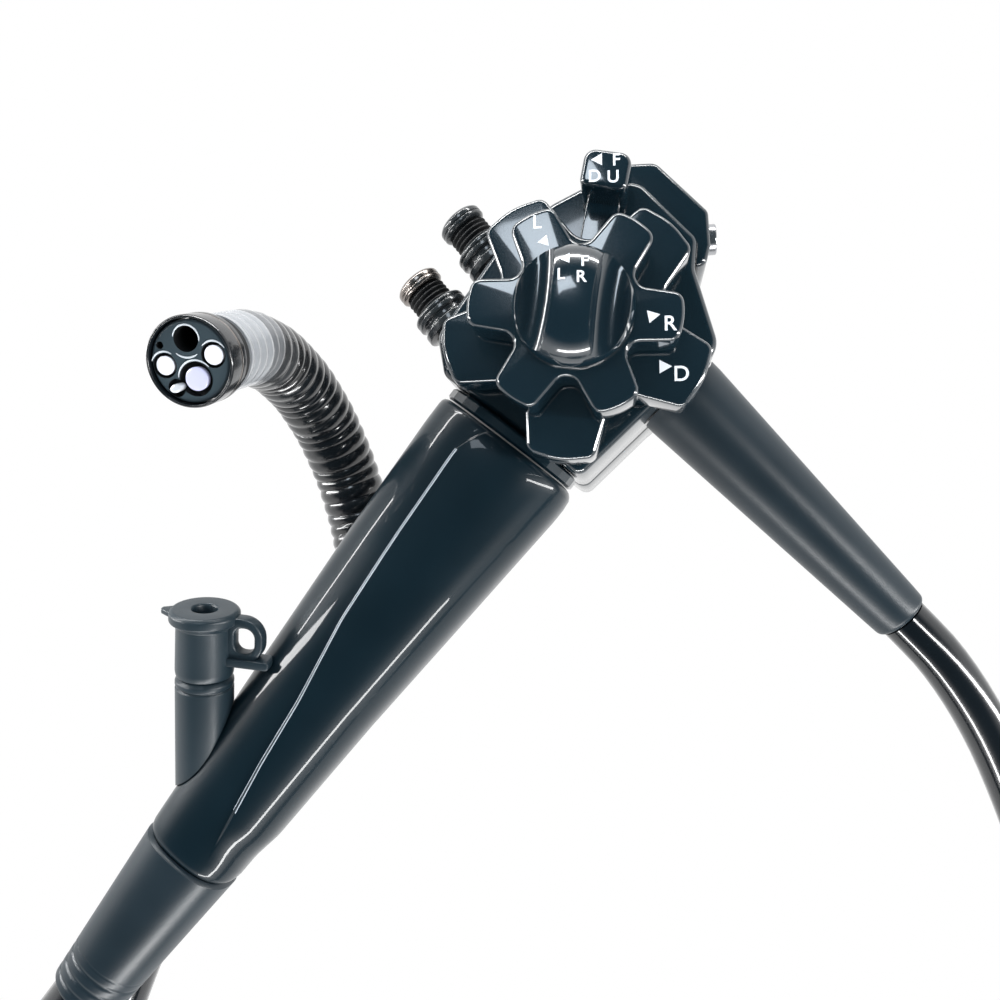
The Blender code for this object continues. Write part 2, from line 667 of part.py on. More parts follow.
def grip(plastic, rubber, metal):
    """The grip shell, the ring that joins it to the head, and the boot that the insertion tube leaves by."""
    shares = [0, 0.015, 0.06, 0.18, 0.3, 0.45, 0.6, 0.75, 0.85, 0.93, 1.0]
    sections = [grip_section(s, -1.0 * MM if s in (0, 1.0) else 0) for s in shares]
    lofted("grip_shell", sections, plastic)
    ring = []
    for x, low in ((HEAD_END_X - GAP, -1.2), (HEAD_END_X - 0.8 * MM, -0.6), (GRIP_START_X + 0.8 * MM, -0.6),
                   (GRIP_START_X + GAP, -1.2)):
        ring.append([(x, y, z) for _, y, z in grip_section(0, low * MM)])
    lofted("grip_ring", ring, metal)
    boot = []
    end_radius = TUBE_RADIUS + 1.2 * MM
    for t, ease in ((0, -0.9), (0.02, 0), (0.25, 0), (0.5, 0), (0.75, 0), (0.97, 0), (1.0, -0.8)):
        x = GRIP_END_X - GAP + (BOOT_END_X - GRIP_END_X) * t
        last = grip_section(1.0)
        around = []
        for k, (_, y, z) in enumerate(last):
            a = 2 * math.pi * k / len(last)
            round_y = 0.8 * MM + end_radius * math.cos(a)
            round_z = GRIP_Z + end_radius * math.sin(a)
            y, z = y + (round_y - y) * t, z + (round_z - z) * t
            shrink = 1 + ease * MM / (11 * MM)
            around.append((x, 0.8 * MM + (y - 0.8 * MM) * shrink, GRIP_Z + (z - GRIP_Z) * shrink))
        boot.append(around)
    lofted("insertion_boot", boot, rubber)


def grip_clearance(name, surface):
    """The grip grown by the usual gap, to cut what seats on it."""
    return lofted(name, [grip_section(k / 10, GAP) for k in range(11)], surface)


def biopsy_port(plastic, metal, rubber):
    """The branch that rises from the grip, its metal mouthpiece and the rubber cap with its strap."""
    axis = (PORT_TOP - PORT_BASE).normalized()
    place = facing(PORT_BASE, axis)
    reach = (PORT_TOP - PORT_BASE).length
    branch_top = reach - PORT_CAP_LENGTH
    bore = MOUTHPIECE_RADIUS + GAP
    branch = turned("port_branch", [
        (0, 0), (PORT_RADIUS, 0), (PORT_RADIUS, branch_top - 0.8 * MM), (PORT_RADIUS - 0.8 * MM, branch_top),
        (bore, branch_top), (bore, branch_top - MOUTHPIECE_DEPTH), (0, branch_top - MOUTHPIECE_DEPTH)],
        plastic, place, sides=28)
    web = []
    for k in range(7):
        t = k / 6
        web.append((branch_top - 3 * MM - 19 * MM * t, PORT_RADIUS - MM + 11 * MM * t ** 2.2))
    web = [(web[-1][0], bore + MM), *reversed(web), (web[0][0], bore + MM)]
    across = axis.cross(Vector((1, 0, 0))).normalized()
    outwards = across.cross(axis)
    sections = []
    for side in (-0.5, 0.5):
        lift = across * WEB_THICK * side
        sections.append([PORT_BASE + axis * t + outwards * s + lift for t, s in web])
    boolean(branch, lofted("port_web", sections, plastic), "UNION")
    boolean(branch, grip_clearance("port_seat", plastic))

    low = branch_top - MOUTHPIECE_DEPTH + GAP
    high = branch_top + MOUTHPIECE_PROUD
    turned("port_mouthpiece", [
        (PORT_BORE, low), (MOUTHPIECE_RADIUS, low), (MOUTHPIECE_RADIUS, high - 2 * MM),
        (MOUTHPIECE_RADIUS - 0.5 * MM, high - 1.2 * MM), (MOUTHPIECE_RADIUS, high - 0.4 * MM),
        (MOUTHPIECE_RADIUS - 0.4 * MM, high), (PORT_BORE, high)], metal, place, sides=24)

    foot, top = branch_top + GAP, reach
    cap = turned("biopsy_cap", [
        (bore, foot), (PORT_CAP_RADIUS, foot), (PORT_CAP_RADIUS + 0.2 * MM, foot + 1.2 * MM),
        (PORT_CAP_RADIUS, top - 3.4 * MM), (PORT_FLANGE_RADIUS, top - 2.4 * MM),
        (PORT_FLANGE_RADIUS, top - 0.7 * MM), (PORT_FLANGE_RADIUS - 0.7 * MM, top),
        (PORT_CAP_HOLE, top), (PORT_CAP_HOLE - 0.4 * MM, top - 3.4 * MM), (1.1 * MM, top - 4.6 * MM),
        (1.1 * MM, high + GAP), (bore, high + GAP)], rubber, place, sides=28)
    strap_frame = port_strap_frame()
    inner = PORT_CAP_RADIUS - 1.2 * MM
    loop = rounded([
        (inner, top - 10.6 * MM, 1 * MM), (13.0 * MM, top - 10.6 * MM, 4 * MM),
        (13.0 * MM, top - 0.9 * MM, 4.5 * MM), (inner, top - 0.9 * MM, 1 * MM)])
    half = STRAP_THICK / 2
    strap = prism("cap_strap", loop, -half, half, rubber, edge=0.5 * MM, place=strap_frame)
    eye = rounded([
        (6.9 * MM, top - 8.6 * MM, 1.8 * MM), (11.2 * MM, top - 8.6 * MM, 2.1 * MM),
        (11.2 * MM, top - 3.0 * MM, 2.1 * MM), (6.9 * MM, top - 3.0 * MM, 1.8 * MM)])
    boolean(cap, strap, "UNION")
    boolean(cap, prism("strap_eye", eye, -4 * MM, 4 * MM, rubber, place=strap_frame))
    tab = rounded([
        (inner, top - 11.6 * MM, 0), (14.6 * MM, top - 11.6 * MM, 0.8 * MM),
        (14.6 * MM, top - 9.7 * MM, 0.8 * MM), (inner, top - 9.7 * MM, 0)])
    boolean(cap, prism("strap_tab", tab, -2.4 * MM, 2.4 * MM, rubber, place=strap_frame), "UNION")
    boolean(cap, grip_clearance("cap_clearance", rubber))
    inside = [(0, foot - MM), (bore, foot - MM), (bore, high + GAP), (0, high + GAP)]
    boolean(cap, turned("cap_room", inside, rubber, place, sides=28))


def port_strap_frame():
    """X away from the cap towards the grip, Y up the port's axis."""
    axis = (PORT_TOP - PORT_BASE).normalized()
    out = Vector((0.613, -0.790, 0))
    out = (out - axis * out.dot(axis)).normalized()
    turn = Matrix((out, axis, out.cross(axis))).transposed().to_4x4()
    return Matrix.Translation(PORT_BASE) @ turn


def universal_boot(rubber, cord):
    """The long boot on the head's lower side, the cord from it and the coil that the rest is wound in."""
    axis = UNIVERSAL_TIP - UNIVERSAL_ROOT
    length = axis.length
    place = facing(UNIVERSAL_ROOT, axis)
    slope = (UNIVERSAL_TIP_RADIUS - UNIVERSAL_ROOT_RADIUS) / length
    profile = [(0, -6 * MM), (UNIVERSAL_ROOT_RADIUS, -6 * MM)]
    for share in (0.0, 0.04, 0.3, 0.6, 0.9):
        profile.append((UNIVERSAL_ROOT_RADIUS + slope * length * share, length * share))
    profile += [(UNIVERSAL_TIP_RADIUS, length - 0.8 * MM), (UNIVERSAL_TIP_RADIUS - 0.8 * MM, length), (0, length)]
    boot = turned("universal_boot", profile, rubber, place, sides=24)
    corners = [(x * MM, y * MM, r * MM) for x, y, r in HEAD_CORNERS]
    boolean(boot, prism("boot_seat", rounded(inset(corners, -GAP)), -MM, HEAD_TOP_Z + MM, rubber))

    tube("universal_cord", smooth([Vector(p) * MM for p in UNIVERSAL_ROUTE], 2.4 * UNIVERSAL_CORD_RADIUS),
         UNIVERSAL_CORD_RADIUS, cord)
    thick = 2 * UNIVERSAL_CORD_RADIUS
    coil("universal_coil", UNIVERSAL_COIL_CENTRE, UNIVERSAL_COIL_INNER - UNIVERSAL_CORD_RADIUS,
         UNIVERSAL_COIL_OUTER + UNIVERSAL_CORD_RADIUS, thick + UNIVERSAL_LAYER, cord, UNIVERSAL_LAYER)


def coil(name, centre, inner, outer, height, surface, inner_rise=0.0):
    """The outer shape of a coil of cord that lies on the floor. Its inner turns may stand higher than its outer ones."""
    low, high = GAP, GAP + height
    soft = 3 * MM
    top = high + inner_rise
    place = Matrix.Translation((centre.x, centre.y, 0))
    return turned(name, [
        (inner, low + soft), (inner + soft, low), (outer - soft, low), (outer, low + soft),
        (outer, high - soft), (outer - soft, high), (inner + soft, top), (inner, top - soft)],
        surface, place, sides=32)


def connector_place():
    """The frame at the end of the universal cord, with Z along the connector and Y upwards."""
    heading = Vector((math.cos(CONNECTOR_TURN), math.sin(CONNECTOR_TURN), 0))
    leave = Vector((math.sin(CONNECTOR_TURN), -math.cos(CONNECTOR_TURN), 0)) * UNIVERSAL_COIL_OUTER
    start = UNIVERSAL_COIL_CENTRE.to_3d() + leave + heading * CONNECTOR_START
    return facing(Vector((start.x, start.y, CONNECTOR_Z)), heading)


def connector(plastic, rubber, metal):
    """The light-guide connector at the cord's far end, lying beside the coil."""
    place = connector_place()
    boot = CONNECTOR_BOOT_LENGTH
    turned("connector_boot", [
        (0, 0), (6.4 * MM, 0), (7.0 * MM, 1.5 * MM), (10.5 * MM, boot - 3 * MM), (11.5 * MM, boot), (0, boot)],
        rubber, place, sides=28)
    start, end = boot + GAP, boot + CONNECTOR_LENGTH
    full = CONNECTOR_RADIUS
    turned("connector_body", [
        (0, start), (12 * MM, start), (full - 1 * MM, start + 7 * MM), (full, start + 10 * MM),
        (full, end - 12 * MM), (full - 2.4 * MM, end - 9 * MM), (full - 2.4 * MM, end - 1 * MM),
        (full - 3.4 * MM, end), (0, end)], plastic, place, sides=28)
    low, high = end + GAP, end + LIGHT_GUIDE_LENGTH
    turned("light_guide_prong", [
        (0, low), (8.5 * MM, low), (8.5 * MM, low + 4 * MM), (LIGHT_GUIDE_RADIUS, low + 5 * MM),
        (LIGHT_GUIDE_RADIUS, high - 1 * MM), (LIGHT_GUIDE_RADIUS - 1 * MM, high), (0, high)],
        metal, place, sides=28)
    side = place @ Matrix.Translation((0, 0, start + 24 * MM)) @ Matrix.Rotation(math.radians(-90), 4, "X")
    reach = full + 9 * MM
    socket = turned("video_socket", [
        (0, full - 5 * MM), (SOCKET_RADIUS, full - 5 * MM), (SOCKET_RADIUS, reach - 0.8 * MM),
        (SOCKET_RADIUS - 0.8 * MM, reach), (SOCKET_RADIUS - 1.8 * MM, reach),
        (SOCKET_RADIUS - 1.8 * MM, reach - 5 * MM), (0, reach - 5 * MM)], metal, side, sides=28)
    boolean(socket, turned("socket_seat", [
        (0, start), (full + GAP, start), (full + GAP, end), (0, end)], metal, place, sides=36))


def insertion_tube(cord):
    """The flexible tube: out of the boot, round its coil and back under the grip to the bending section."""
    for name, route in (("insertion_tube_out", TUBE_OUT_ROUTE), ("insertion_tube_back", TUBE_BACK_ROUTE)):
        tube(name, smooth([Vector(p) * MM for p in route], 2 * TUBE_RADIUS), TUBE_RADIUS, cord)
    coil("insertion_coil", COIL_CENTRE, COIL_RADIUS - TUBE_RADIUS, COIL_RADIUS + TUBE_RADIUS,
         4 * TUBE_RADIUS + 0.3 * MM, cord)


def chain_frames():
    """The frame of each hinge of the bending section at rest, from the base to the tip, and of its base."""
    start = facing(CHAIN_BASE, (math.cos(CHAIN_HEADING), math.sin(CHAIN_HEADING), 0))
    frames = []
    here = start @ Matrix.Translation((0, 0, CHAIN_PITCH / 2))
    for k in range(CHAIN_JOINTS):
        if k % 2 == 0:
            here = here @ Matrix.Rotation(-CHAIN_UP, 4, "X")
        else:
            here = here @ Matrix.Rotation(CHAIN_LEFT, 4, "Y")
        frames.append(here.copy())
        here = here @ Matrix.Translation((0, 0, CHAIN_PITCH))
    return start, frames


def link(name, surface, back=0.0, front_lugs=True):
    """One ring of the bending section. Its rear hinge is on X at the origin, its front hinge on Y a pitch ahead.

    A ring with back set is the fixed ferrule: it runs that far behind the origin and has no rear hinge.
    """
    outer, inner = RING_OUTER, RING_OUTER - RING_WALL
    slope = math.tan(RING_CUT)
    bm = bmesh.new()
    sections = []
    for k in range(RING_SIDES):
        a = 2 * math.pi * k / RING_SIDES
        c, s = math.cos(a), math.sin(a)
        rear = -back if back else RING_RELIEF + abs(outer * s) * slope
        front = CHAIN_PITCH - RING_RELIEF - abs(outer * c) * slope
        if not front_lugs:
            front = TIP_START - GAP
        sections.append([
            (outer * c, outer * s, rear), (outer * c, outer * s, front),
            (inner * c, inner * s, front), (inner * c, inner * s, rear)])
    skin(bm, sections, closed=True)
    made = finish(name, bm, surface)
    along_x = Matrix.Rotation(math.radians(90), 4, "Y")
    along_y = Matrix.Translation((0, 0, CHAIN_PITCH)) @ Matrix.Rotation(math.radians(-90), 4, "X")
    if not back:
        notch = circle(LUG_RADIUS + RING_RELIEF, sides=10)
        boolean(made, prism("notch", notch, -outer - MM, outer + MM, surface, place=along_x))
        outside = inner * math.cos(math.asin(LUG_RADIUS / inner)) - RING_RELIEF
        for side in (-1, 1):
            eye = lug_outline(LUG_RADIUS, LUG_RADIUS + RING_RELIEF + 1.6 * MM)
            ends = sorted((side * (outside - LUG_THICK), side * outside))
            plate = prism("rear_lug", eye, *ends, surface, place=along_x)
            foot = [Vector((-z, y)) for y, z in (
                (-LUG_RADIUS, LUG_RADIUS + RING_RELIEF + 0.2 * MM), (LUG_RADIUS, LUG_RADIUS + RING_RELIEF + 0.2 * MM),
                (LUG_RADIUS, LUG_RADIUS + RING_RELIEF + 1.59 * MM), (-LUG_RADIUS, LUG_RADIUS + RING_RELIEF + 1.59 * MM))]
            ends = sorted((side * (outside - LUG_THICK + 0.02 * MM), side * (inner + RING_WALL / 2)))
            boolean(made, plate, "UNION")
            boolean(made, prism("rear_foot", foot, *ends, surface, place=along_x), "UNION")
        hole = circle(RIVET_RADIUS + RING_RELIEF, sides=8)
        boolean(made, prism("rivet_hole", hole, -outer, outer, surface, place=along_x))
    if front_lugs:
        low, high = inner - 0.05 * MM, inner + LUG_THICK - 0.05 * MM
        for side in (-1, 1):
            eye = [Vector((p.y, -p.x)) for p in lug_outline(LUG_RADIUS, LUG_RADIUS + 1.4 * MM)]
            ends = sorted((side * low, side * high))
            boolean(made, prism("front_lug", eye, *ends, surface, place=along_y), "UNION")
            ends = sorted((side * (low + 0.3 * MM), side * (low - 1.1 * MM)))
            rivet = circle(RIVET_RADIUS, sides=6)
            boolean(made, prism("rivet", rivet, *ends, surface, place=along_y), "UNION")
    return baked(made)


def lug_outline(radius, reach):
    """A tongue with a round end at the origin, running along -X."""
    arc = [Vector((radius * math.cos(a), radius * math.sin(a))) for a in
           (math.radians(-90 + 45 * k) for k in range(5))]
    return [Vector((-reach, -radius)), *arc, Vector((-reach, radius))]


def bending_section(metal, rubber):
    """The fixed ferrule, the hinged rings and the ribbed rubber sleeve over them."""
    start, frames = chain_frames()
    # the first hinge's axis is X, so the ferrule's front lugs, which lie on Y, are turned onto it
    lead = Matrix.Translation((0, 0, -CHAIN_PITCH / 2)) @ Matrix.Rotation(math.radians(90), 4, "Z")
    placed("bending_ferrule", link("ferrule", metal, back=FERRULE_LENGTH - CHAIN_PITCH / 2), start @ lead)
    ring = link("ring", metal)
    last_ring = link("last_ring", metal, front_lugs=False)
    parent = placed("bending_root", None, start)
    for k, frame in enumerate(frames):
        pivot = bpy.data.objects.new("bending_pivot_%02d" % (k + 1), None)
        bpy.context.scene.collection.objects.link(pivot)
        pivot.parent = parent
        bpy.context.view_layer.update()
        pivot.matrix_world = frame
        bpy.context.view_layer.update()
        mesh = last_ring if k == CHAIN_JOINTS - 1 else ring.copy()
        turned_frame = frame @ Matrix.Rotation(math.radians(90) * (k % 2), 4, "Z")
        made = placed("bending_ring_%02d" % (k + 1), mesh, turned_frame)
        made.parent = pivot
        made.matrix_world = turned_frame
        parent = pivot
    sleeve(start, frames, rubber)
    return frames[-1]


def sleeve(start, frames, rubber):
    """The rubber sleeve: a ribbed tube along the hinges, from the ferrule to the distal end."""
    stations = [start @ Matrix.Translation((0, 0, z)) for z in (-FERRULE_LENGTH + 0.3 * MM, -1.5 * MM)]
    before = start @ Matrix.Translation((0, 0, CHAIN_PITCH / 2))
    for k, frame in enumerate(frames):
        half = CHAIN_UP / 2 if k % 2 == 0 else -CHAIN_LEFT / 2
        stations.append(frame @ Matrix.Rotation(half, 4, "X" if k % 2 == 0 else "Y"))
        stations.append(frame @ Matrix.Translation((0, 0, CHAIN_PITCH / 2)))
    stations.append(frames[-1] @ Matrix.Translation((0, 0, TIP_START + TIP_SPIGOT_LENGTH - GAP)))
    outside, inside = [], []
    for k, station in enumerate(stations):
        bulge = RUBBER_OUTER if k % 2 else RUBBER_OUTER - 0.15 * MM
        for radius, loops in ((bulge, outside), (RUBBER_INNER, inside)):
            loops.append([station @ Vector((p.x, p.y, 0)) for p in circle(radius, sides=16)])
    bm = bmesh.new()
    skin(bm, outside + inside[::-1], closed=True)
    return finish("bending_rubber", bm, rubber)


def distal_end(frame, plastic, black, glass, metal):
    """The rigid tip: its body with the channel and the seats of its optics, and the hood round its rim."""
    low = TIP_START
    face = TIP_START + TIP_LENGTH
    spigot = RING_OUTER - 0.1 * MM
    step = low + TIP_SPIGOT_LENGTH
    body = turned("distal_body", [
        (0, low), (spigot, low), (spigot, step), (TIP_RADIUS, step + 0.3 * MM), (TIP_RADIUS, face - 0.4 * MM),
        (TIP_RADIUS - 0.4 * MM, face), (0, face)], plastic, frame, sides=28)
    hood_in = TIP_RADIUS + GAP
    lip = face + HOOD_LIP
    turned("distal_hood", [
        (hood_in, face - HOOD_LENGTH), (HOOD_OUTER - 0.4 * MM, face - HOOD_LENGTH),
        (HOOD_OUTER, face - HOOD_LENGTH + 0.5 * MM), (HOOD_OUTER, lip - 0.4 * MM), (HOOD_OUTER - 0.25 * MM, lip),
        (hood_in + 0.1 * MM, lip), (hood_in, lip - 0.2 * MM)], black, frame, sides=28)
    for name, (x, y, radius) in FACE_ITEMS.items():
        place = frame @ Matrix.Translation((x * MM, y * MM, 0))
        radius *= MM
        through = name in ("instrument_channel", "water_jet")
        seat = radius if through else radius + GAP
        bottom = low - MM if name == "instrument_channel" else face - FACE_SEAT_DEPTH
        seat_profile = [(0, bottom), (seat, bottom), (seat, face + MM), (0, face + MM)]
        boolean(body, turned(name + "_seat", seat_profile, plastic, place, sides=16))
        if through:
            continue
        foot = face - FACE_SEAT_DEPTH + GAP
        if name == "water_nozzle":
            turned(name, [(0, foot), (radius, foot), (radius, face + 0.5 * MM), (radius * 0.7, face + MM),
                          (0, face + MM)], metal, place, sides=16)
        else:
            turned(name, [(0, foot), (radius, foot), (radius, face - 0.25 * MM), (radius * 0.75, face + 0.1 * MM),
                          (0, face + 0.2 * MM)], glass, place, sides=16)


def main():
    for old in list(bpy.data.objects):
        bpy.data.objects.remove(old, do_unlink=True)
    black = material("gloss_black", (0.012, 0.02, 0.026), 0.22)
    plastic = material("blue_black", (0.01, 0.024, 0.032), 0.28)
    metal = material("steel", (0.6, 0.6, 0.6), 0.3, 1.0)
    rubber = material("slate_rubber", (0.02, 0.032, 0.04), 0.55)
    cord = material("cord_black", (0.006, 0.008, 0.01), 0.25)
    glass = material("glass", (0.7, 0.7, 0.85), 0.05)
    head(plastic, metal)
    for side in VALVE_BASES:
        valve(side, metal, black)
    switches(black, metal)
    brake_lever(black)
    knobs(black, metal)
    brake_dome(black)
    grip(plastic, rubber, metal)
    biopsy_port(plastic, metal, rubber)
    universal_boot(rubber, cord)
    connector(plastic, rubber, metal)
    insertion_tube(cord)
    last = bending_section(metal, rubber)
    distal_end(last, plastic, black, glass, metal)


main()
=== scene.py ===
"""The flexible endoscope's look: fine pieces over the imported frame, its cords, lights and camera."""

from math import acos, cos, hypot, pi, radians, sin, tan

import bmesh
import bpy
from mathutils import Matrix, Vector


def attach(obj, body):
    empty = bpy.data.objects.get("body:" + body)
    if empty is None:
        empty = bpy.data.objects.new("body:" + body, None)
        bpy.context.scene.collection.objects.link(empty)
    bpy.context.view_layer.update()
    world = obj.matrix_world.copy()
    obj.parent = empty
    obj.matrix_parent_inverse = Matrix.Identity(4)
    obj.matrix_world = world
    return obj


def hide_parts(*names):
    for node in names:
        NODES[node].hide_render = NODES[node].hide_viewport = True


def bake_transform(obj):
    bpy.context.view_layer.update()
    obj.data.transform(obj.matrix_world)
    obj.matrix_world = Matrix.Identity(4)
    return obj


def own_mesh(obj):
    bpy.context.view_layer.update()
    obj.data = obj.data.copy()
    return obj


MM = 0.001
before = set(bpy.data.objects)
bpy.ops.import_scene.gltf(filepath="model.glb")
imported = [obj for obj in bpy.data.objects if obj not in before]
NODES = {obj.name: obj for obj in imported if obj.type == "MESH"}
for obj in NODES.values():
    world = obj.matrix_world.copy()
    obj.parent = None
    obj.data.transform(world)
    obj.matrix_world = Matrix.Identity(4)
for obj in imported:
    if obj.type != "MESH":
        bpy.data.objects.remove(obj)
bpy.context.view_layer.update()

# Camera, in the photo's own directions: u to the right, v up, both in mm on the table
KNOB_AXIS = Vector((15.31, 34.46))
PHOTO_DEGREES = 52.2
PHOTO_TURN = radians(PHOTO_DEGREES)
LOOK_AT = Vector((0, 0, 55.0))
CAMERA_BACK = Vector((0.1236, -0.0854, 0.9887))
CAMERA_FAR = 195.0
FOCAL_PX = 992.6
FRAME_PX = 1000
SENSOR_MM = 36

# Sizes in mm. Corners are (x, y, fillet), and levels are over the table
GAP = 0.3
MARK_GAP = 0.02
CASE_SPLIT, HEAD_TOP = 19, 44
LEVER_LEVELS, LEVER_TAB_TOP = (44.5, 46.9), 56.0
UD_KNOB_LEVELS, RL_KNOB_LEVELS, DOME_LEVELS = (47.7, 56.5), (58.1, 67.1), (67.6, 76.0)
SWITCH_BLOCK_LEVELS = (7, 41)
TUBE_RADIUS, UNIVERSAL_RADIUS = 7.0, 5.25
HEAD_CORNERS = [
    (-23, -17.6, 2.5), (-3, -20.6, 8), (15.4, -24.6, 5), (26, -10.2, 5), (31.6, -6.6, 3), (34.2, 9.6, 4),
    (31.4, 17, 5), (20, 22.6, 8), (6, 26.2, 6), (-17, 25.2, 5), (-23, 18.6, 3)]
SWITCH_CORNERS = [
    (27, -12, 2), (32.8, -9.4, 1.5), (38.4, -4.6, 2), (40.6, 10.8, 3), (36.6, 16, 3), (31, 19.6, 2),
    (28, 4, 0)]
# each switch's centre and the way it faces, in degrees
SWITCHES = {
    "freeze": (39.4, 3.2, 15.0, -8), "capture": (39.4, 3.2, 27.0, -8), "corner": (35.6, -7.0, 33.0, -50)}
VALVES = {"suction": (-12.4, 26.4, 31.0), "air": (4.6, 27.4, 31.0)}
VALVE_ANGLE = radians(77)
GRIP_START, GRIP_END, GRIP_Z = -26.3, -138.6, 33.0
# share of the grip's length, then the section's middle, half width and half height
GRIP_STATIONS = [
    (0, 0.3, 17.4, 13.9), (0.06, 0.3, 17.3, 14.6), (0.3, 0.7, 15.7, 15.0), (0.6, 1.0, 13.5, 13.4),
    (0.85, 0.9, 11.9, 11.9), (1.0, 0.8, 11.0, 11.0)]
GRIP_POWER = 2.5
PANEL_EDGE = [
    (-24, 1.0), (-29, 4.6), (-34, 6.3), (-54, 5.2), (-76, 3.6), (-95, 0.6), (-110, -0.9), (-140, -5.0)]
PANEL_RISE = 0.9
PORT_BASE, PORT_TOP = Vector((-128, 6.2, 34.5)), Vector((-92, 27.4, 49))
CHAIN_BASE, CHAIN_HEADING = Vector((-64, 20.4, 8.1)), radians(50)
CHAIN_JOINTS = 12
CHAIN_PITCH, CHAIN_UP, CHAIN_LEFT = 6.5, radians(18), radians(2)
TIP_FACE = 18.3
FACE_ITEMS = {
    # place across and up the face, radius and width of the dark moat round it
    "instrument_channel": (-1.0, -4.0, 2.1, 0.3), "objective_lens": (0.3, 3.3, 2.2, 1.0),
    "light_lens_left": (5.0, -1.0, 1.75, 0.55), "light_lens_right": (-4.7, 0.5, 1.8, 0.55),
    "water_nozzle": (4.6, 3.5, 1.1, 0.6), "water_jet": (4.3, -4.7, 0.6, 0.1)}


def from_photo(p):
    """A point in the photo's directions, in mm, as a point of the row frame, in metres."""
    u, v = p[0] - KNOB_AXIS.x, p[1] - KNOB_AXIS.y
    c, s = cos(PHOTO_TURN), sin(PHOTO_TURN)
    return Vector((u * c + v * s, v * c - u * s, p[2])) * MM


# Materials
def settle(node, **values):
    """Sets a node's own sockets, with _ for a space in their names."""
    for name, value in values.items():
        node.inputs[name.replace("_", " ")].default_value = value


def material(name, colour, roughness, metallic=0.0, coat=0.0, coat_rough=0.06, coat_ior=1.5,
             ior=1.5, grain=0.0, spread=0.0, tint=0.25, glow=0.0):
    """A Principled material whose colour wanders slightly, with spread and grain if asked."""
    made = bpy.data.materials.new(name)
    made.use_nodes = True
    nodes, links = made.node_tree.nodes, made.node_tree.links
    shader = nodes["Principled BSDF"]
    settle(shader, Metallic=metallic, Roughness=roughness, IOR=ior, Coat_Weight=coat, Coat_IOR=coat_ior,
           Coat_Roughness=coat_rough, Emission_Color=(*colour, 1), Emission_Strength=glow)
    place = nodes.new("ShaderNodeTexCoord")
    noise = nodes.new("ShaderNodeTexNoise")
    settle(noise, Scale=60.0, Detail=4.0)
    links.new(place.outputs["Object"], noise.inputs["Vector"])
    if spread:
        wander = nodes.new("ShaderNodeMapRange")
        settle(wander, To_Min=roughness - spread, To_Max=roughness + spread)
        links.new(noise.outputs["Fac"], wander.inputs["Value"])
        links.new(wander.outputs["Result"], shader.inputs["Roughness"])
    shades = nodes.new("ShaderNodeValToRGB")
    for stop, share in zip(shades.color_ramp.elements, (1 - tint, 1 + tint)):
        stop.color = (*(min(1.0, c * share) for c in colour), 1)
    links.new(noise.outputs["Fac"], shades.inputs["Fac"])
    links.new(shades.outputs["Color"], shader.inputs["Base Color"])
    if grain:
        fine = nodes.new("ShaderNodeTexNoise")
        settle(fine, Scale=900.0, Detail=2.0)
        links.new(place.outputs["Object"], fine.inputs["Vector"])
        bump = nodes.new("ShaderNodeBump")
        settle(bump, Strength=grain, Distance=0.1 * MM)
        links.new(fine.outputs["Fac"], bump.inputs["Height"])
        links.new(bump.outputs["Normal"], shader.inputs["Normal"])
    return made


HOUSING = material("housing", (0.0035, 0.012, 0.018), 0.20, coat=0.7, coat_ior=1.7, spread=0.03, grain=0.04)
KNOB = material("knob", (0.0045, 0.014, 0.021), 0.20, coat=0.9, coat_ior=1.8, spread=0.03, grain=0.03)
GRIP = material("grip", (0.0028, 0.0105, 0.016), 0.36, coat=0.45, coat_rough=0.04, ior=1.25, spread=0.04)
BOOT = material("boot", (0.0085, 0.0175, 0.0245), 0.36, spread=0.05, grain=0.12)
PORT = material("port", (0.0125, 0.0235, 0.031), 0.36, spread=0.05, grain=0.12)
STEEL = material("steel", (0.50, 0.51, 0.53), 0.24, metallic=1.0, spread=0.05, tint=0.06)
VALVE = material("valve", (0.022, 0.026, 0.028), 0.22, coat=0.6, spread=0.04)
BRONZE = material("bronze", (0.30, 0.27, 0.25), 0.25, metallic=1.0, spread=0.05, tint=0.1)
CORD = material("cord", (0.004, 0.006, 0.008), 0.16, coat=0.6, spread=0.03)
SLEEVE = material("sleeve", (0.006, 0.008, 0.010), 0.24, coat=0.8, coat_rough=0.12, spread=0.05)
# painted reflection: the sleeve's outer lengths are painted paler towards the hood
SLEEVE_PAINTED_SHEEN = [
    material("sleeve_painted_sheen_%d" % k, (g, g * 1.03, g * 1.06), 0.22, coat=0.9, coat_rough=0.1, spread=0.05)
    for k, g in enumerate((0.014, 0.045, 0.16, 0.34))]
HOOD = material("hood", (0.005, 0.007, 0.009), 0.22, coat=0.6, spread=0.03)
FACE = material("face", (0.034, 0.052, 0.062), 0.35, spread=0.05, grain=0.10)
LENS = material("lens", (0.62, 0.62, 0.84), 0.12, coat=1.0, coat_rough=0.03, tint=0.08)
LIGHT_GLASS = material("light_glass", (0.90, 0.91, 0.95), 0.2, coat=1.0, coat_rough=0.03, tint=0.04)
NOZZLE = material("nozzle", (0.82, 0.84, 0.86), 0.2, metallic=0.3, tint=0.05)
DARK = material("dark", (0.002, 0.003, 0.004), 0.6, spread=0.05)
# the marks' white print, which also glows faintly as painted light
MARK = material("mark", (0.80, 0.83, 0.86), 0.45, spread=0.05, tint=0.06, glow=0.25)
RIDGE = material("ridge", (0.62, 0.66, 0.68), 0.3, spread=0.04, tint=0.08)
# a pale colour painted along the grip panel's step as its highlight
PANEL_PAINTED_HIGHLIGHT = material("panel_painted_highlight", (0.42, 0.46, 0.50), 0.25, coat=0.5, spread=0.04, tint=0.08)

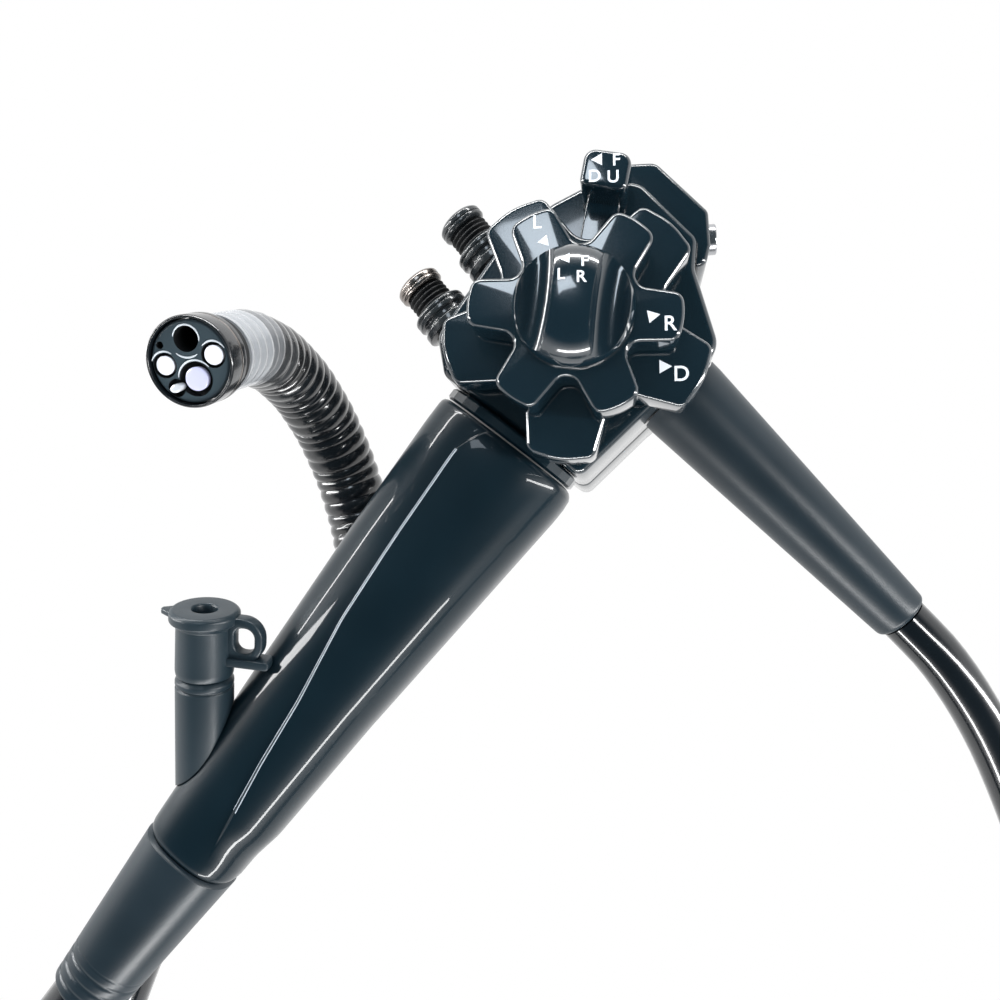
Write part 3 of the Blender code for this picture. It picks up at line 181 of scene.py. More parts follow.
CAD_MATERIALS = {
    HOUSING: ("head_case_lower", "head_case_upper", "grip_shell", "grip_ring", "switch_block",
              "connector_body"),
    KNOB: ("ud_knob", "rl_knob", "rl_brake_dome", "ud_brake_lever", "freeze_switch", "capture_switch"),
    BOOT: ("universal_boot", "insertion_boot", "connector_boot"),
    PORT: ("port_branch", "biopsy_cap"),
    STEEL: ("chassis_plate", "centre_post", "ud_shaft", "rl_shaft", "ud_drum", "rl_drum", "port_mouthpiece",
            "corner_switch", "bending_ferrule", "light_guide_prong", "video_socket",
            *("bending_ring_%02d" % (k + 1) for k in range(CHAIN_JOINTS))),
    VALVE: ("suction_valve_cylinder", "air_valve_cylinder", "suction_valve_button", "air_valve_button"),
    HOOD: ("distal_hood",),
    FACE: ("distal_body",),
    LENS: ("objective_lens",),
    LIGHT_GLASS: ("light_lens_left", "light_lens_right"),
    NOZZLE: ("water_nozzle",),
}

for surface, names in CAD_MATERIALS.items():
    for name in names:
        NODES[name].data.materials.clear()
        NODES[name].data.materials.append(surface)


# Shapes, all given in mm
def added(name, data):
    made = bpy.data.objects.new(name, data)
    bpy.context.scene.collection.objects.link(made)
    return made


def shaded(mesh, angle=35):
    """Smooths a mesh but for its edges sharper than an angle."""
    mesh.shade_smooth()
    mesh.set_sharp_from_angle(angle=radians(angle))


def angles(sides):
    return [2 * pi * k / sides for k in range(sides)]


def circle(radius, height=0, sides=72):
    """Points round the Z axis."""
    return [Vector((radius * cos(a), radius * sin(a), height)) for a in angles(sides)]


def finish(name, bm, surfaces, place=None, angle=35):
    """An object from a bmesh in mm, smooth but for its sharp edges."""
    bmesh.ops.recalc_face_normals(bm, faces=bm.faces)
    bmesh.ops.scale(bm, vec=(MM, MM, MM), verts=bm.verts)
    mesh = bpy.data.meshes.new(name)
    bm.to_mesh(mesh)
    bm.free()
    for surface in surfaces if isinstance(surfaces, (list, tuple)) else [surfaces]:
        mesh.materials.append(surface)
    shaded(mesh, angle)
    made = added(name, mesh)
    if place is not None:
        made.matrix_world = at_scale(place)
    return made


def at_scale(place):
    """A frame in mm as one in metres."""
    moved = place.copy()
    moved.translation = place.translation * MM
    return moved


def skin(bm, sections, closed=False):
    """Faces between sections of equal length, capped, or closed from the last to the first."""
    loops = [[bm.verts.new(p) for p in section] for section in sections]
    pairs = list(zip(loops, loops[1:]))
    if closed:
        pairs.append((loops[-1], loops[0]))
    for low, high in pairs:
        for i in range(len(low)):
            j = (i + 1) % len(low)
            bm.faces.new((low[i], low[j], high[j], high[i]))
    if not closed:
        bm.faces.new(reversed(loops[0]))
        bm.faces.new(loops[-1])


def lofted(name, sections, surfaces, place=None, angle=35):
    """A capped skin through sections."""
    bm = bmesh.new()
    skin(bm, sections)
    return finish(name, bm, surfaces, place, angle)


def turned(name, profile, surfaces, place=None, sides=96, angle=35, index=0):
    """Turns (radius, height) points round Z. A profile off the axis closes on itself and leaves a bore."""
    bm = bmesh.new()
    on_axis = profile[0][0] == 0
    inner = profile[1:-1] if on_axis else profile
    sections = [[(r * cos(a), r * sin(a), h) for a in angles(sides)] for r, h in inner]
    skin(bm, sections, closed=not on_axis)
    for face in bm.faces:
        face.material_index = index
    return finish(name, bm, surfaces, place, angle)


def soft_profile(points, radius, steps=4):
    """A (radius, height) profile with its inner corners rounded."""
    done = [points[0]]
    for a, b, c in zip(points, points[1:], points[2:]):
        here, before, after = Vector(b), Vector(a), Vector(c)
        back, on = before - here, after - here
        reach = min(radius, back.length * 0.45, on.length * 0.45)
        if reach < 0.02 or b[0] == 0:
            done.append(b)
            continue
        start, end = here + back.normalized() * reach, here + on.normalized() * reach
        for k in range(steps + 1):
            t = k / steps
            p = start * (1 - t) ** 2 + here * 2 * t * (1 - t) + end * t * t
            done.append((p.x, p.y))
    done.append(points[-1])
    return done


def rounded(corners, steps=10):
    """A polygon of (x, y, fillet) corners with its fillets as arcs."""
    points = []
    for i, (x, y, radius) in enumerate(corners):
        here = Vector((x, y))
        before = (Vector(corners[i - 1][:2]) - here).normalized()
        after = (Vector(corners[(i + 1) % len(corners)][:2]) - here).normalized()
        half = before.angle(after) / 2
        if radius == 0 or half > 1.55:
            points.append(here)
            continue
        reach = radius / tan(half)
        centre = here + (before + after).normalized() * radius / sin(half)
        start = here + before * reach - centre
        sweep = start.angle_signed(here + after * reach - centre)
        for k in range(steps + 1):
            points.append(centre + Matrix.Rotation(-sweep * k / steps, 2) @ start)
    return points


def inset(corners, distance):
    """The corners moved inwards, or outwards for a distance below zero."""
    moved = []
    for i, (x, y, radius) in enumerate(corners):
        here = Vector((x, y))
        along = (here - Vector(corners[i - 1][:2])).normalized()
        onward = (Vector(corners[(i + 1) % len(corners)][:2]) - here).normalized()
        across = Vector((-along.y, along.x))
        normal = (across + Vector((-onward.y, onward.x))).normalized()
        x, y = here + normal * distance / normal.dot(across)
        moved.append((x, y, max(0.8, radius - distance) if radius else 0))
    return moved


def prism(name, outline, low, high, surfaces, edge=0.0, place=None):
    """An outline raised from one level to another, with bevelled edges if asked."""
    bm = bmesh.new()
    skin(bm, [[(p.x, p.y, z) for p in outline] for z in (low, high)])
    made = finish(name, bm, surfaces, place)
    if edge:
        soften(made, edge, 4, 50)
    return made


def soften(made, width, segments=3, angle=40):
    """Bevels the edges that are sharper than an angle."""
    bevel = made.modifiers.new("Rim", "BEVEL")
    bevel.width = width * MM
    bevel.segments = segments
    bevel.limit_method = "ANGLE"
    bevel.angle_limit = radians(angle)


def cut(target, *tools):
    """Takes closed tools away from a piece. Baking it then removes them."""
    for tool in tools:
        step = target.modifiers.new("Cut", "BOOLEAN")
        step.operation = "DIFFERENCE"
        step.solver = "EXACT"
        step.object = tool


def evaluated_mesh(made):
    """A mesh of an object's modifiers or letters as they show."""
    bpy.context.view_layer.update()
    return bpy.data.meshes.new_from_object(made.evaluated_get(bpy.context.evaluated_depsgraph_get()))


def baked(made, angle=35):
    """Applies an object's modifiers in place and removes the tools that they used."""
    mesh = evaluated_mesh(made)
    tools = [step.object for step in made.modifiers if step.type == "BOOLEAN"]
    made.modifiers.clear()
    made.data = mesh
    shaded(mesh, angle)
    for tool in tools:
        bpy.data.objects.remove(tool, do_unlink=True)
    return made


def joined(name, *parts):
    """One object from several, with every part's own materials."""
    bm = bmesh.new()
    surfaces = []
    for part in parts:
        baked(part)
        shift = []
        for surface in part.data.materials:
            if surface not in surfaces:
                surfaces.append(surface)
            shift.append(surfaces.index(surface))
        before = len(bm.faces)
        copy = part.data.copy()
        copy.transform(part.matrix_world)
        bm.from_mesh(copy)
        bm.faces.ensure_lookup_table()
        for face in bm.faces[before:]:
            face.material_index = shift[face.material_index]
        bpy.data.objects.remove(part, do_unlink=True)
    mesh = bpy.data.meshes.new(name)
    bm.to_mesh(mesh)
    bm.free()
    for surface in surfaces:
        mesh.materials.append(surface)
    shaded(mesh)
    return added(name, mesh)


def lift(z):
    """A move along a frame's own Z."""
    return Matrix.Translation((0, 0, z))


def facing(point, direction, up=Vector((0, 0, 1))):
    """A frame in mm at a point, with Z along a direction."""
    z = Vector(direction).normalized()
    x = Vector(up).cross(z).normalized()
    return Matrix.Translation(point) @ Matrix((x, z.cross(x), z)).transposed().to_4x4()


def show(made, body, slot, *nodes):
    """Hands a finished piece to a body of the frame, in place of its CAD nodes."""
    if made.modifiers:
        baked(made)
    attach(made, body)
    if nodes:
        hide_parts(*nodes)
    return made


def marks(name, body, level, items, drape=None):
    """White marks on a level, each (what, x, y, height, turn), with its turn as the photo shows it.

    The word tri stands for a triangle, any other for its letters. With drape, a rule for the height at a
    distance from the axis, the marks follow a domed face.
    """
    parts = []
    for what, x, y, tall, turn in items:
        spin = Matrix.Rotation(radians(turn - PHOTO_DEGREES), 4, "Z")
        place = at_scale(Matrix.Translation((x, y, level)) @ spin)
        if what == "tri":
            half = tall * 0.55
            corners = [Vector((-half, -tall * 0.4)), Vector((half, -tall * 0.4)), Vector((0, tall * 0.6))]
            made = prism("tri", corners, 0, 0.05, MARK)
        else:
            text = bpy.data.curves.new("text", "FONT")
            text.body = what
            text.size = tall * 1.4 * MM
            text.align_x = text.align_y = "CENTER"
            text.extrude = 0.03 * MM
            text.offset = 0.05 * MM
            holder = added("text", text)
            mesh = evaluated_mesh(holder)
            bpy.data.objects.remove(holder, do_unlink=True)
            mesh.materials.clear()
            mesh.materials.append(MARK)
            made = added("text", mesh)
        made.matrix_world = place
        parts.append(made)
    made = joined(name, *parts)
    for vertex in made.data.vertices if drape else ():
        p = vertex.co / MM
        vertex.co.z = (0.1 + drape(hypot(p.x, p.y)) + 0.06 * (p.z > level + 0.01)) * MM
    show(made, body, None)


# Angulation knobs, their brakes and the head
def knob_outline(radius, valley, lobes, phase, share, hollow):
    """A hand wheel's outline: a lobe's half width is a share of the pitch, hollow its valleys' fillet."""
    corners = []
    pitch = 2 * pi / lobes
    for k in range(lobes):
        middle = radians(phase) + k * pitch
        for offset, reach, fillet in ((-share, 1.0, 2.2), (0.0, 1.02, 14.0), (share, 1.0, 2.2)):
            a = middle + offset * pitch
            corners.append((radius * reach * cos(a), radius * reach * sin(a), fillet))
        for offset in (-0.1, 0.1):
            a = middle + (0.5 + offset) * pitch
            corners.append((valley * cos(a), valley * sin(a), hollow))
    return rounded(corners, steps=8)


def knob(body, levels, bore, radius, valley, lobes, share, phase, hollow):
    """A lobed hand wheel with rounded rims, hollow from below round its hub.

    It is one closed skin, because booleans fail where fillets meet in the valleys.
    """
    low, high = levels
    wall, roof, hub = 2.4, 3, 3
    outline = knob_outline(radius, valley, lobes, phase, share, hollow)
    count, edge = len(outline), 0.95
    inwards = []
    for i in range(count):
        along = (outline[(i + 1) % count] - outline[i - 1]).normalized()
        inwards.append(Vector((-along.y, along.x)))

    def rim(back, z):
        return [(*(p + n * back), z) for p, n in zip(outline, inwards)]

    def ring(r, z):
        return [(*(p.normalized() * r), z) for p in outline]

    turns = [radians(18 * k) for k in range(6)]
    sections = [ring(valley - wall, low)]
    sections += [rim(edge * (1 - sin(a)), low + edge * (1 - cos(a))) for a in turns]
    sections += [rim(edge * (1 - cos(a)), high - edge * (1 - sin(a))) for a in turns]
    sections += [ring(bore, high), ring(bore, low), ring(bore + hub, low), ring(bore + hub, high - roof),
                 ring(valley - wall, high - roof)]
    bm = bmesh.new()
    skin(bm, sections, closed=True)
    show(finish(body + "_look", bm, KNOB), body, "knob_gloss", body)


knob("ud_knob", UD_KNOB_LEVELS, bore=5.0, radius=26.8, valley=17.4, lobes=5, share=0.2,
     phase=46.5 - PHOTO_DEGREES, hollow=4.8)
knob("rl_knob", RL_KNOB_LEVELS, bore=3.4, radius=20.2, valley=12.8, lobes=6, share=0.215,
     phase=114 - PHOTO_DEGREES, hollow=2.3)
marks("ud_knob_marks", "ud_knob", UD_KNOB_LEVELS[1] + MARK_GAP, [
    ("tri", 3.2, -18.9, 2.4, -90), ("D", 3.9, -22.4, 3.0, 0)])
marks("rl_knob_marks", "rl_knob", RL_KNOB_LEVELS[1] + MARK_GAP, [
    ("tri", 7.4, -12.6, 2.2, -80), ("R", 8.0, -16.0, 2.8, 0),
    ("L", 9.0, 15.6, 2.6, 0), ("tri", 6.9, 12.4, 2.0, 100)])


def brake_dome():
    """A dome with a hollow scooped from either side, which leaves a bar to turn it by."""
    low, high = DOME_LEVELS
    radius = 11.4
    profile = [(0, low), (radius - 0.6, low), (radius, low + 0.8)]
    for k in range(1, 17):
        a = radians(90 * k / 17)
        profile.append((radius * cos(a) ** 0.8, low + 1 + (high - low - 1) * sin(a)))
    profile.append((0, high))
    made = turned("rl_brake_dome_look", profile, KNOB, sides=112, angle=30)
    # the scoop's floor: distance out from the bar, height over the dome's foot
    floor = ((0.0, 6.0), (0.3, 4.2), (1.0, 3.4), (2.0, 2.9), (3.4, 2.7), (4.8, 2.95), (6.2, 3.6), (7.6, 4.8))
    reach, clear, over = 13.4, 16, low + 10.4
    for side in (1, -1):
        sections = []
        for k in range(9):
            along = k / 4 - 1
            inside = 3.6 + 1.4 * along * along
            section = [(along * reach, side * (inside + out), low + z) for out, z in floor]
            section += [(along * reach, side * clear, over), (along * reach, side * inside, over)]
            sections.append(section)
        cut(made, lofted("scoop", sections, KNOB, Matrix.Rotation(radians(30), 4, "Z")))
    soften(made, 0.4, 4, 32)
    show(made, "rl_brake", "knob_gloss", "rl_brake_dome")
    marks("rl_brake_marks", "rl_brake", high - 1, [
        ("tri", 4.9, 5.2, 1.9, 90), ("F", 6.4, 2.0, 2.2, 0), ("L", 1.9, 3.8, 2.2, 0),
        ("R", 3.6, 0.6, 2.2, 0)],
        drape=lambda r: low + 1 + (high - low - 1) * sin(acos(min(1.0, r / radius) ** 1.25)))


def brake_lever():
    """The U/D brake: a ring under the knob, a stem and a raised tab."""
    low, high = LEVER_LEVELS
    ring = turned("ring", soft_profile([(6.1, low), (15, low), (15, high), (6.1, high)], 0.4), KNOB)
    turn = Matrix.Rotation(radians(27), 4, "Z")
    stem = [Vector((10, -3.5)), Vector((31.9, -3.5)), Vector((31.9, 3.5)), Vector((10, 3.5))]
    bar = prism("stem", stem, low + 0.02, high - 0.02, KNOB, edge=0.4, place=turn)
    cap = rounded([(28.0, -4.8, 1.6), (35.8, -4.8, 2.4), (35.8, 4.8, 2.4), (28.0, 4.8, 1.6)])
    tab = prism("tab", cap, low + 0.04, LEVER_TAB_TOP, KNOB, edge=1.1, place=turn)
    show(joined("ud_brake_lever_look", ring, bar, tab), "ud_brake", "knob_gloss", "ud_brake_lever")
    marks("ud_brake_marks", "ud_brake", LEVER_TAB_TOP + MARK_GAP, [
        ("tri", 28.9, 16.9, 2.2, 90), ("F", 30.9, 13.8, 2.5, 0),
        ("D", 25.8, 15.3, 2.5, 0), ("U", 27.8, 12.2, 2.5, 0)])


def head():
    """The two case halves, the switch block and its three switches."""
    outline = rounded(HEAD_CORNERS)
    room = rounded(inset(HEAD_CORNERS, 2.6))
    plate = 3
    lower = prism("head_case_lower_look", outline, 0, CASE_SPLIT, HOUSING, edge=1.6)
    cut(lower, prism("room", room, plate, CASE_SPLIT + 1, HOUSING))
    show(lower, "control_body", "housing_gloss", "head_case_lower")
    upper = prism("head_case_upper_look", outline, CASE_SPLIT + GAP, HEAD_TOP, HOUSING, edge=1.6)
    post = [(0, CASE_SPLIT), (5.1, CASE_SPLIT), (5.1, HEAD_TOP + 1), (0, HEAD_TOP + 1)]
    cut(upper, prism("room", room, CASE_SPLIT - 1, HEAD_TOP - plate, HOUSING),
        turned("hole", post, HOUSING, sides=64))
    for base in VALVES.values():
        hole = [(0, -9), (5.3, -9), (5.3, -0.1), (6.7, -0.1), (6.7, 4), (0, 4)]
        cut(upper, turned("seat", hole, HOUSING, facing(base, valve_axis())))
    show(upper, "control_body", "housing_gloss", "head_case_upper")
    marks("head_marks", "control_body", HEAD_TOP + MARK_GAP, [
        ("tri", -21.2, -12.8, 1.5, 0), ("tri", -20.2, -14.6, 1.5, 180), ("tri", -18.4, -15.8, 1.5, 0)])
    low, high = SWITCH_BLOCK_LEVELS
    made = prism("switch_block_look", rounded(SWITCH_CORNERS), low, high, HOUSING, edge=1.2)
    cut(made, prism("clear", rounded(inset(HEAD_CORNERS, -GAP)), low - 1, high + 1, HOUSING))
    for name, (x, y, z, turn) in SWITCHES.items():
        out = (cos(radians(turn)), sin(radians(turn)), 0)
        place = facing(Vector((x, y, z)), out)
        cut(made, turned("well", [(0, -2.8), (3.6, -2.8), (3.6, 4), (0, 4)], HOUSING, place, sides=64))
        surface = STEEL if name == "corner" else KNOB
        cap = soft_profile([(0, -1.7), (3.3, -1.7), (3.3, 1.9), (2.5, 1.9), (2.1, 1.6), (0, 1.7)], 0.5)
        slot = "steel" if name == "corner" else "knob_gloss"
        show(turned(name + "_switch_look", cap, surface, place), name + "_button", slot, name + "_switch")
    show(made, "control_body", "housing_gloss", "switch_block")


def valve_axis():
    return Vector((cos(VALVE_ANGLE), sin(VALVE_ANGLE), 0))


def valve(side):
    """A valve's cylinder, its sprung button and the folded bellows between them."""
    axis = valve_axis()
    place = facing(VALVES[side], axis)
    top = BRONZE if side == "suction" else VALVE
    body = [(3.6, -7), (5.0, -7), (5.0, 0.2), (6.4, 0.6), (6.4, 2.2), (5.6, 2.6), (5.6, 3.6), (6.4, 4.0),
            (6.4, 4.9), (6.2, 5.0), (6.2, 5.2), (6.4, 5.3), (6.4, 5.9), (5.9, 6.4), (4.6, 6.4), (4.2, 6.0),
            (3.6, 6.0)]
    show(turned(side + "_valve_cylinder_look", soft_profile(body, 0.2), VALVE, place), "control_body",
         "steel", side + "_valve_cylinder")
    foot, fold = 6.5, 1.12
    folds = [(3.4, foot)]
    for k in range(4):
        folds += [(4.7, 6.9 + fold * k), (4.7, 7.1 + fold * k), (4.1, 7.5 + fold * k), (4.1, 7.6 + fold * k)]
    folds += [(4.5, 11.1), (3.4, 11.2)]
    bellows = turned(side + "_valve_bellows", soft_profile(folds, 0.2), DARK, place)
    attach(bellows, "control_body")
    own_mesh(bellows)
    stem = [(0, -0.6), (3.2, -0.6), (3.2, 11.0), (4.8, 11.4), (5.3, 11.9), (5.3, 12.4), (5.1, 12.5),
            (5.1, 12.7), (5.3, 12.8), (5.3, 13.7), (4.6, 14.4), (3.7, 14.4), (3.1, 13.9), (0, 13.9)]
    rim = turned("rim", soft_profile(stem, 0.25), top, place)
    disc = turned("disc", [(0, 13.8), (3.0, 13.8), (3.0, 13.97), (0, 14.0)], VALVE, place)
    show(joined(side + "_valve_button_look", rim, disc), side + "_button", "steel", side + "_valve_button")


brake_dome()
brake_lever()
head()
for which in VALVES:
    valve(which)


# Grip, boots and port
def grip_shape(share):
    """The section at a share of the grip's length."""
    for a, b in zip(GRIP_STATIONS, GRIP_STATIONS[1:]):
        if share <= b[0]:
            t = (share - a[0]) / (b[0] - a[0])
            return [p + (q - p) * t for p, q in zip(a[1:], b[1:])]
    return GRIP_STATIONS[-1][1:]


def grip_point(share, a, grow=0.0):
    """A point of the grip's section at an angle, moved out by grow."""
    centre, wide, high = grip_shape(share)
    c, s = cos(a), sin(a)
    size = (abs(c) ** GRIP_POWER + abs(s) ** GRIP_POWER) ** (-1 / GRIP_POWER)
    x = GRIP_START + (GRIP_END - GRIP_START) * share
    return Vector((x, (wide + grow) * c * size + centre, GRIP_Z + (high + grow) * s * size))


def panel_angle(share):
    """The angle of the raised panel's edge on the grip's upper face."""
    x = GRIP_START + (GRIP_END - GRIP_START) * share
    for (x0, y0), (x1, y1) in zip(PANEL_EDGE, PANEL_EDGE[1:]):
        if x >= x1:
            y = y0 + (y1 - y0) * (x - x0) / (x1 - x0)
            break
    low, high = radians(45), radians(135)
    for _ in range(24):
        middle = (low + high) / 2
        if grip_point(share, middle).y > y:
            low = middle
        else:
            high = middle
    return low


def grip():
    """The grip's shell and its raised panel, whose step has painted highlight lines along it."""
    # share of the length and growth of the section, rounded at either end
    front = ((0, -1), (0.003, -0.4), (0.008, -0.1), (0.015, 0))
    back = ((0.985, 0), (0.993, -0.15), (0.998, -0.5), (1, -1))
    # distance past the panel's edge, and share of its rise
    step = ((0.0, 0.0), (0.18, 0.04), (0.34, 0.26), (0.5, 0.74), (0.66, 0.96), (0.9, 1.0))
    reach = 15.0
    sections = []
    for share, grow in (*front, *((k / 60, 0) for k in range(2, 59)), *back):
        edge = panel_angle(share)
        fade = min(1.0, max(0.0, (0.94 - share) / 0.06)) * min(1.0, share / 0.02)
        ring = []
        for offset, rise in step:
            ring.append(grip_point(share, edge + offset / reach, grow + PANEL_RISE * rise * fade))
        start, end = edge + step[-1][0] / reach, radians(262)
        for k in range(1, 44):
            ring.append(grip_point(share, start + (end - start) * k / 44, grow + PANEL_RISE * fade))
        ring.append(grip_point(share, end, grow + PANEL_RISE * fade))
        ring.append(grip_point(share, end + 0.05, grow + PANEL_RISE * 0.4 * fade))
        ring.append(grip_point(share, end + 0.09, grow))
        start, end = end + 0.09, edge + 2 * pi
        for k in range(1, 50):
            ring.append(grip_point(share, start + (end - start) * k / 50, grow))
        sections.append(ring)
    body = lofted("grip_shell_look", sections, (GRIP, PANEL_PAINTED_HIGHLIGHT), angle=40)
    ring_size = len(sections[0])
    # the step's foot and top, away from the grip's ends, take the painted highlight
    for index, polygon in enumerate(body.data.polygons):
        row, column = divmod(index, ring_size)
        if 5 < row < len(sections) - 12 and column in (0, 4):
            polygon.material_index = 1
    show(body, "control_body", "housing_gloss", "grip_shell")


def insertion_boot():
    """The boot behind the grip, from the grip's section to a round end with grooves."""
    centre, round_radius, last, steps = 0.8, 8.2, -178, 160
    sections = []
    for k in range(steps + 1):
        t = k / steps
        x = GRIP_END - GAP + (last - GRIP_END) * t
        groove = 0.3 * max(0.0, cos(pi * (x + 173) / 1.3)) ** 2 if -177 < x < -168 else 0.0
        ends = 0.9 * max(0.0, 1 - t * 60) + 0.8 * max(0.0, 1 - (1 - t) * 60)
        ring = []
        for a in angles(96):
            p = grip_point(1.0, a)
            round_y, round_z = centre + round_radius * cos(a), GRIP_Z + round_radius * sin(a)
            y, z = p.y + (round_y - p.y) * t, p.z + (round_z - p.z) * t
            shrink = 1 - (ends + groove) / 11
            ring.append((x, centre + (y - centre) * shrink, GRIP_Z + (z - GRIP_Z) * shrink))
        sections.append(ring)
    show(lofted("insertion_boot_look", sections, BOOT), "control_body", "slate_rubber", "insertion_boot")


def universal_boot():
    """The tapered boot at the head's side, where the universal cord leaves."""
    root, tip = Vector((5.6, -24.6, 27)), Vector((-3.5, -90.3, 19))
    wide, narrow = 10, 6.2
    length = (tip - root).length
    slope = (narrow - wide) / length
    profile = [(0, -6), (wide, -6), (wide, 0)]
    for k in range(1, 20):
        along = length * k / 20
        profile.append((wide + slope * along, along))
    profile += [(narrow, length - 0.8), (narrow - 0.8, length), (0, length)]
    made = turned("universal_boot_look", soft_profile(profile, 0.8), BOOT, facing(root, tip - root))
    cut(made, prism("seat", rounded(inset(HEAD_CORNERS, -GAP)), -1, HEAD_TOP + 1, BOOT))
    show(made, "control_body", "slate_rubber", "universal_boot")


def grip_clearance():
    """The grip's form with a gap round it, to cut what sits on it."""
    return lofted("clear", [[grip_point(k / 10, a, GAP) for a in angles(64)] for k in range(11)], PORT)


def port():
    """The biopsy port: a branch with a web, a mouthpiece and a cap with a strap."""
    axis = (PORT_TOP - PORT_BASE).normalized()
    place = facing(PORT_BASE, axis)
    top = (PORT_TOP - PORT_BASE).length
    branch_top = top - 15
    branch = turned("branch", soft_profile([
        (0, 0), (6.1, 0), (6.1, branch_top - 2.4), (5.8, branch_top - 2.2), (5.8, branch_top - 1.9),
        (6.1, branch_top - 1.7), (6.1, branch_top - 0.8), (5.3, branch_top), (3.9, branch_top),
        (3.9, branch_top - 8), (0, branch_top - 8)], 0.25), PORT, place)
    web = [(branch_top - 3 - 19 * k / 24, 5.1 + 11 * (k / 24) ** 2.2) for k in range(25)]
    web = [(web[-1][0], 4.9), *reversed(web), (web[0][0], 4.9)]
    across = axis.cross(Vector((1, 0, 0))).normalized()
    outwards = across.cross(axis)
    blade = lofted("web", [[PORT_BASE + axis * t + outwards * s + across * 2.4 * side for t, s in web]
                           for side in (-0.5, -0.4, 0.4, 0.5)], PORT)
    for part in (branch, blade):
        cut(part, grip_clearance())
    show(joined("port_branch_look", branch, blade), "control_body", "slate_rubber", "port_branch")
    high = branch_top + 8.5
    mouth = [(2.1, branch_top - 7.7), (3.6, branch_top - 7.7), (3.6, high - 2), (3.1, high - 1.2),
             (3.6, high - 0.4), (3.2, high), (2.1, high)]
    show(turned("port_mouthpiece_look", soft_profile(mouth, 0.15), STEEL, place), "control_body", "steel",
         "port_mouthpiece")
    foot = branch_top + GAP
    cap = turned("cap", soft_profile([
        (3.9, foot), (5.9, foot), (6.1, foot + 1.2), (5.9, top - 3.4), (7.3, top - 2.4), (7.3, top - 0.7),
        (6.6, top), (2.9, top), (2.6, top - 0.4), (2.2, top - 3.4), (1.1, top - 4.6), (1.1, high + GAP),
        (3.9, high + GAP)], 0.35), PORT, place)
    out = Vector((0.613, -0.790, 0))
    out = (out - axis * out.dot(axis)).normalized()
    strap_frame = Matrix.Translation(PORT_BASE) @ Matrix((out, axis, out.cross(axis))).transposed().to_4x4()
    loop = rounded([
        (5.2, top - 10.6, 1), (13.0, top - 10.6, 4), (13.0, top - 0.9, 4.5), (5.2, top - 0.9, 1)])
    eye = rounded([
        (6.9, top - 8.6, 1.8), (11.2, top - 8.6, 2.1), (11.2, top - 3.0, 2.1), (6.9, top - 3.0, 1.8)])
    strap = prism("strap", loop, -1.6, 1.6, PORT, place=strap_frame)
    cut(strap, prism("eye", eye, -4, 4, PORT, place=strap_frame))
    soften(strap, 0.5, 3)
    tab = rounded([
        (5.2, top - 11.6, 0), (14.6, top - 11.6, 0.8), (14.6, top - 9.7, 0.8), (5.2, top - 9.7, 0)])
    blade = prism("tab", tab, -2.4, 2.4, PORT, edge=0.4, place=strap_frame)
    wedge = ((6.2, -2.6), (9.4, -0.5), (9.4, 0.5), (6.2, 2.6))
    lip = lofted("lip", [[strap_frame @ Vector((-x, top - h, z)) for x, z in wedge]
                         for h in (2.2, 0.9)], PORT)
    soften(lip, 0.3, 3)
    for part in (strap, blade):
        cut(part, grip_clearance())
    show(joined("biopsy_cap_look", cap, strap, blade, lip), "control_body", "slate_rubber", "biopsy_cap")


grip()
insertion_boot()
universal_boot()
port()


# Bending section and distal end
def chain():
    """The frames of the chain's foot and of its hinges, at rest."""
    start = facing(CHAIN_BASE, (cos(CHAIN_HEADING), sin(CHAIN_HEADING), 0))
    hinges = []
    here = start @ lift(CHAIN_PITCH / 2)
    for k in range(CHAIN_JOINTS):
        turn = Matrix.Rotation(CHAIN_LEFT, 4, "Y") if k % 2 else Matrix.Rotation(-CHAIN_UP, 4, "X")
        here = here @ turn
        hinges.append(here.copy())
        here = here @ lift(CHAIN_PITCH)
    return start, hinges


def sleeve(start, hinges):
    """The ribbed rubber sleeve over the rings, in one length across each hinge."""
    mids = [start, *(hinge @ lift(CHAIN_PITCH / 2) for hinge in hinges)]
    plain = CHAIN_JOINTS - len(SLEEVE_PAINTED_SHEEN)
    inside, count = 7.05, 24
    run = 0.0
    for k, hinge in enumerate(hinges):
        a, b = mids[k], mids[k + 1]
        stations = []
        if k == 0:
            before = (-2.7, -2.4, -2.0, -1.6, -1.2, -0.8, -0.4)
            stations += [(a @ lift(z), z) for z in before]
        for n in range(count + 1):
            t = n / count
            spot = a.translation * (1 - t) ** 2 + hinge.translation * 2 * t * (1 - t) + b.translation * t * t
            turn = a.to_quaternion().slerp(b.to_quaternion(), t)
            stations.append((Matrix.Translation(spot) @ turn.to_matrix().to_4x4(), CHAIN_PITCH * t))
        if k == CHAIN_JOINTS - 1:
            after = [0.3 * n for n in range(1, 19)]
            stations += [(b @ lift(z), CHAIN_PITCH + z) for z in after]
        rings, inner = [], []
        for place, along in stations:
            wave = abs(sin(pi * (run + along) / 3.25)) ** 0.9
            radius = 7.30 + 0.45 * wave
            rings.append([place @ p for p in circle(radius)])
            inner.append([place @ p for p in circle(inside)])
        bm = bmesh.new()
        skin(bm, rings + inner[::-1], closed=True)
        # the outer lengths take the painted reflection
        surface = SLEEVE_PAINTED_SHEEN[k - plain] if k >= plain else SLEEVE
        made = finish("bending_sleeve_%02d" % (k + 1), bm, surface, angle=60)
        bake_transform(made)
        if k == 0:
            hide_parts("bending_rubber")
        run += CHAIN_PITCH


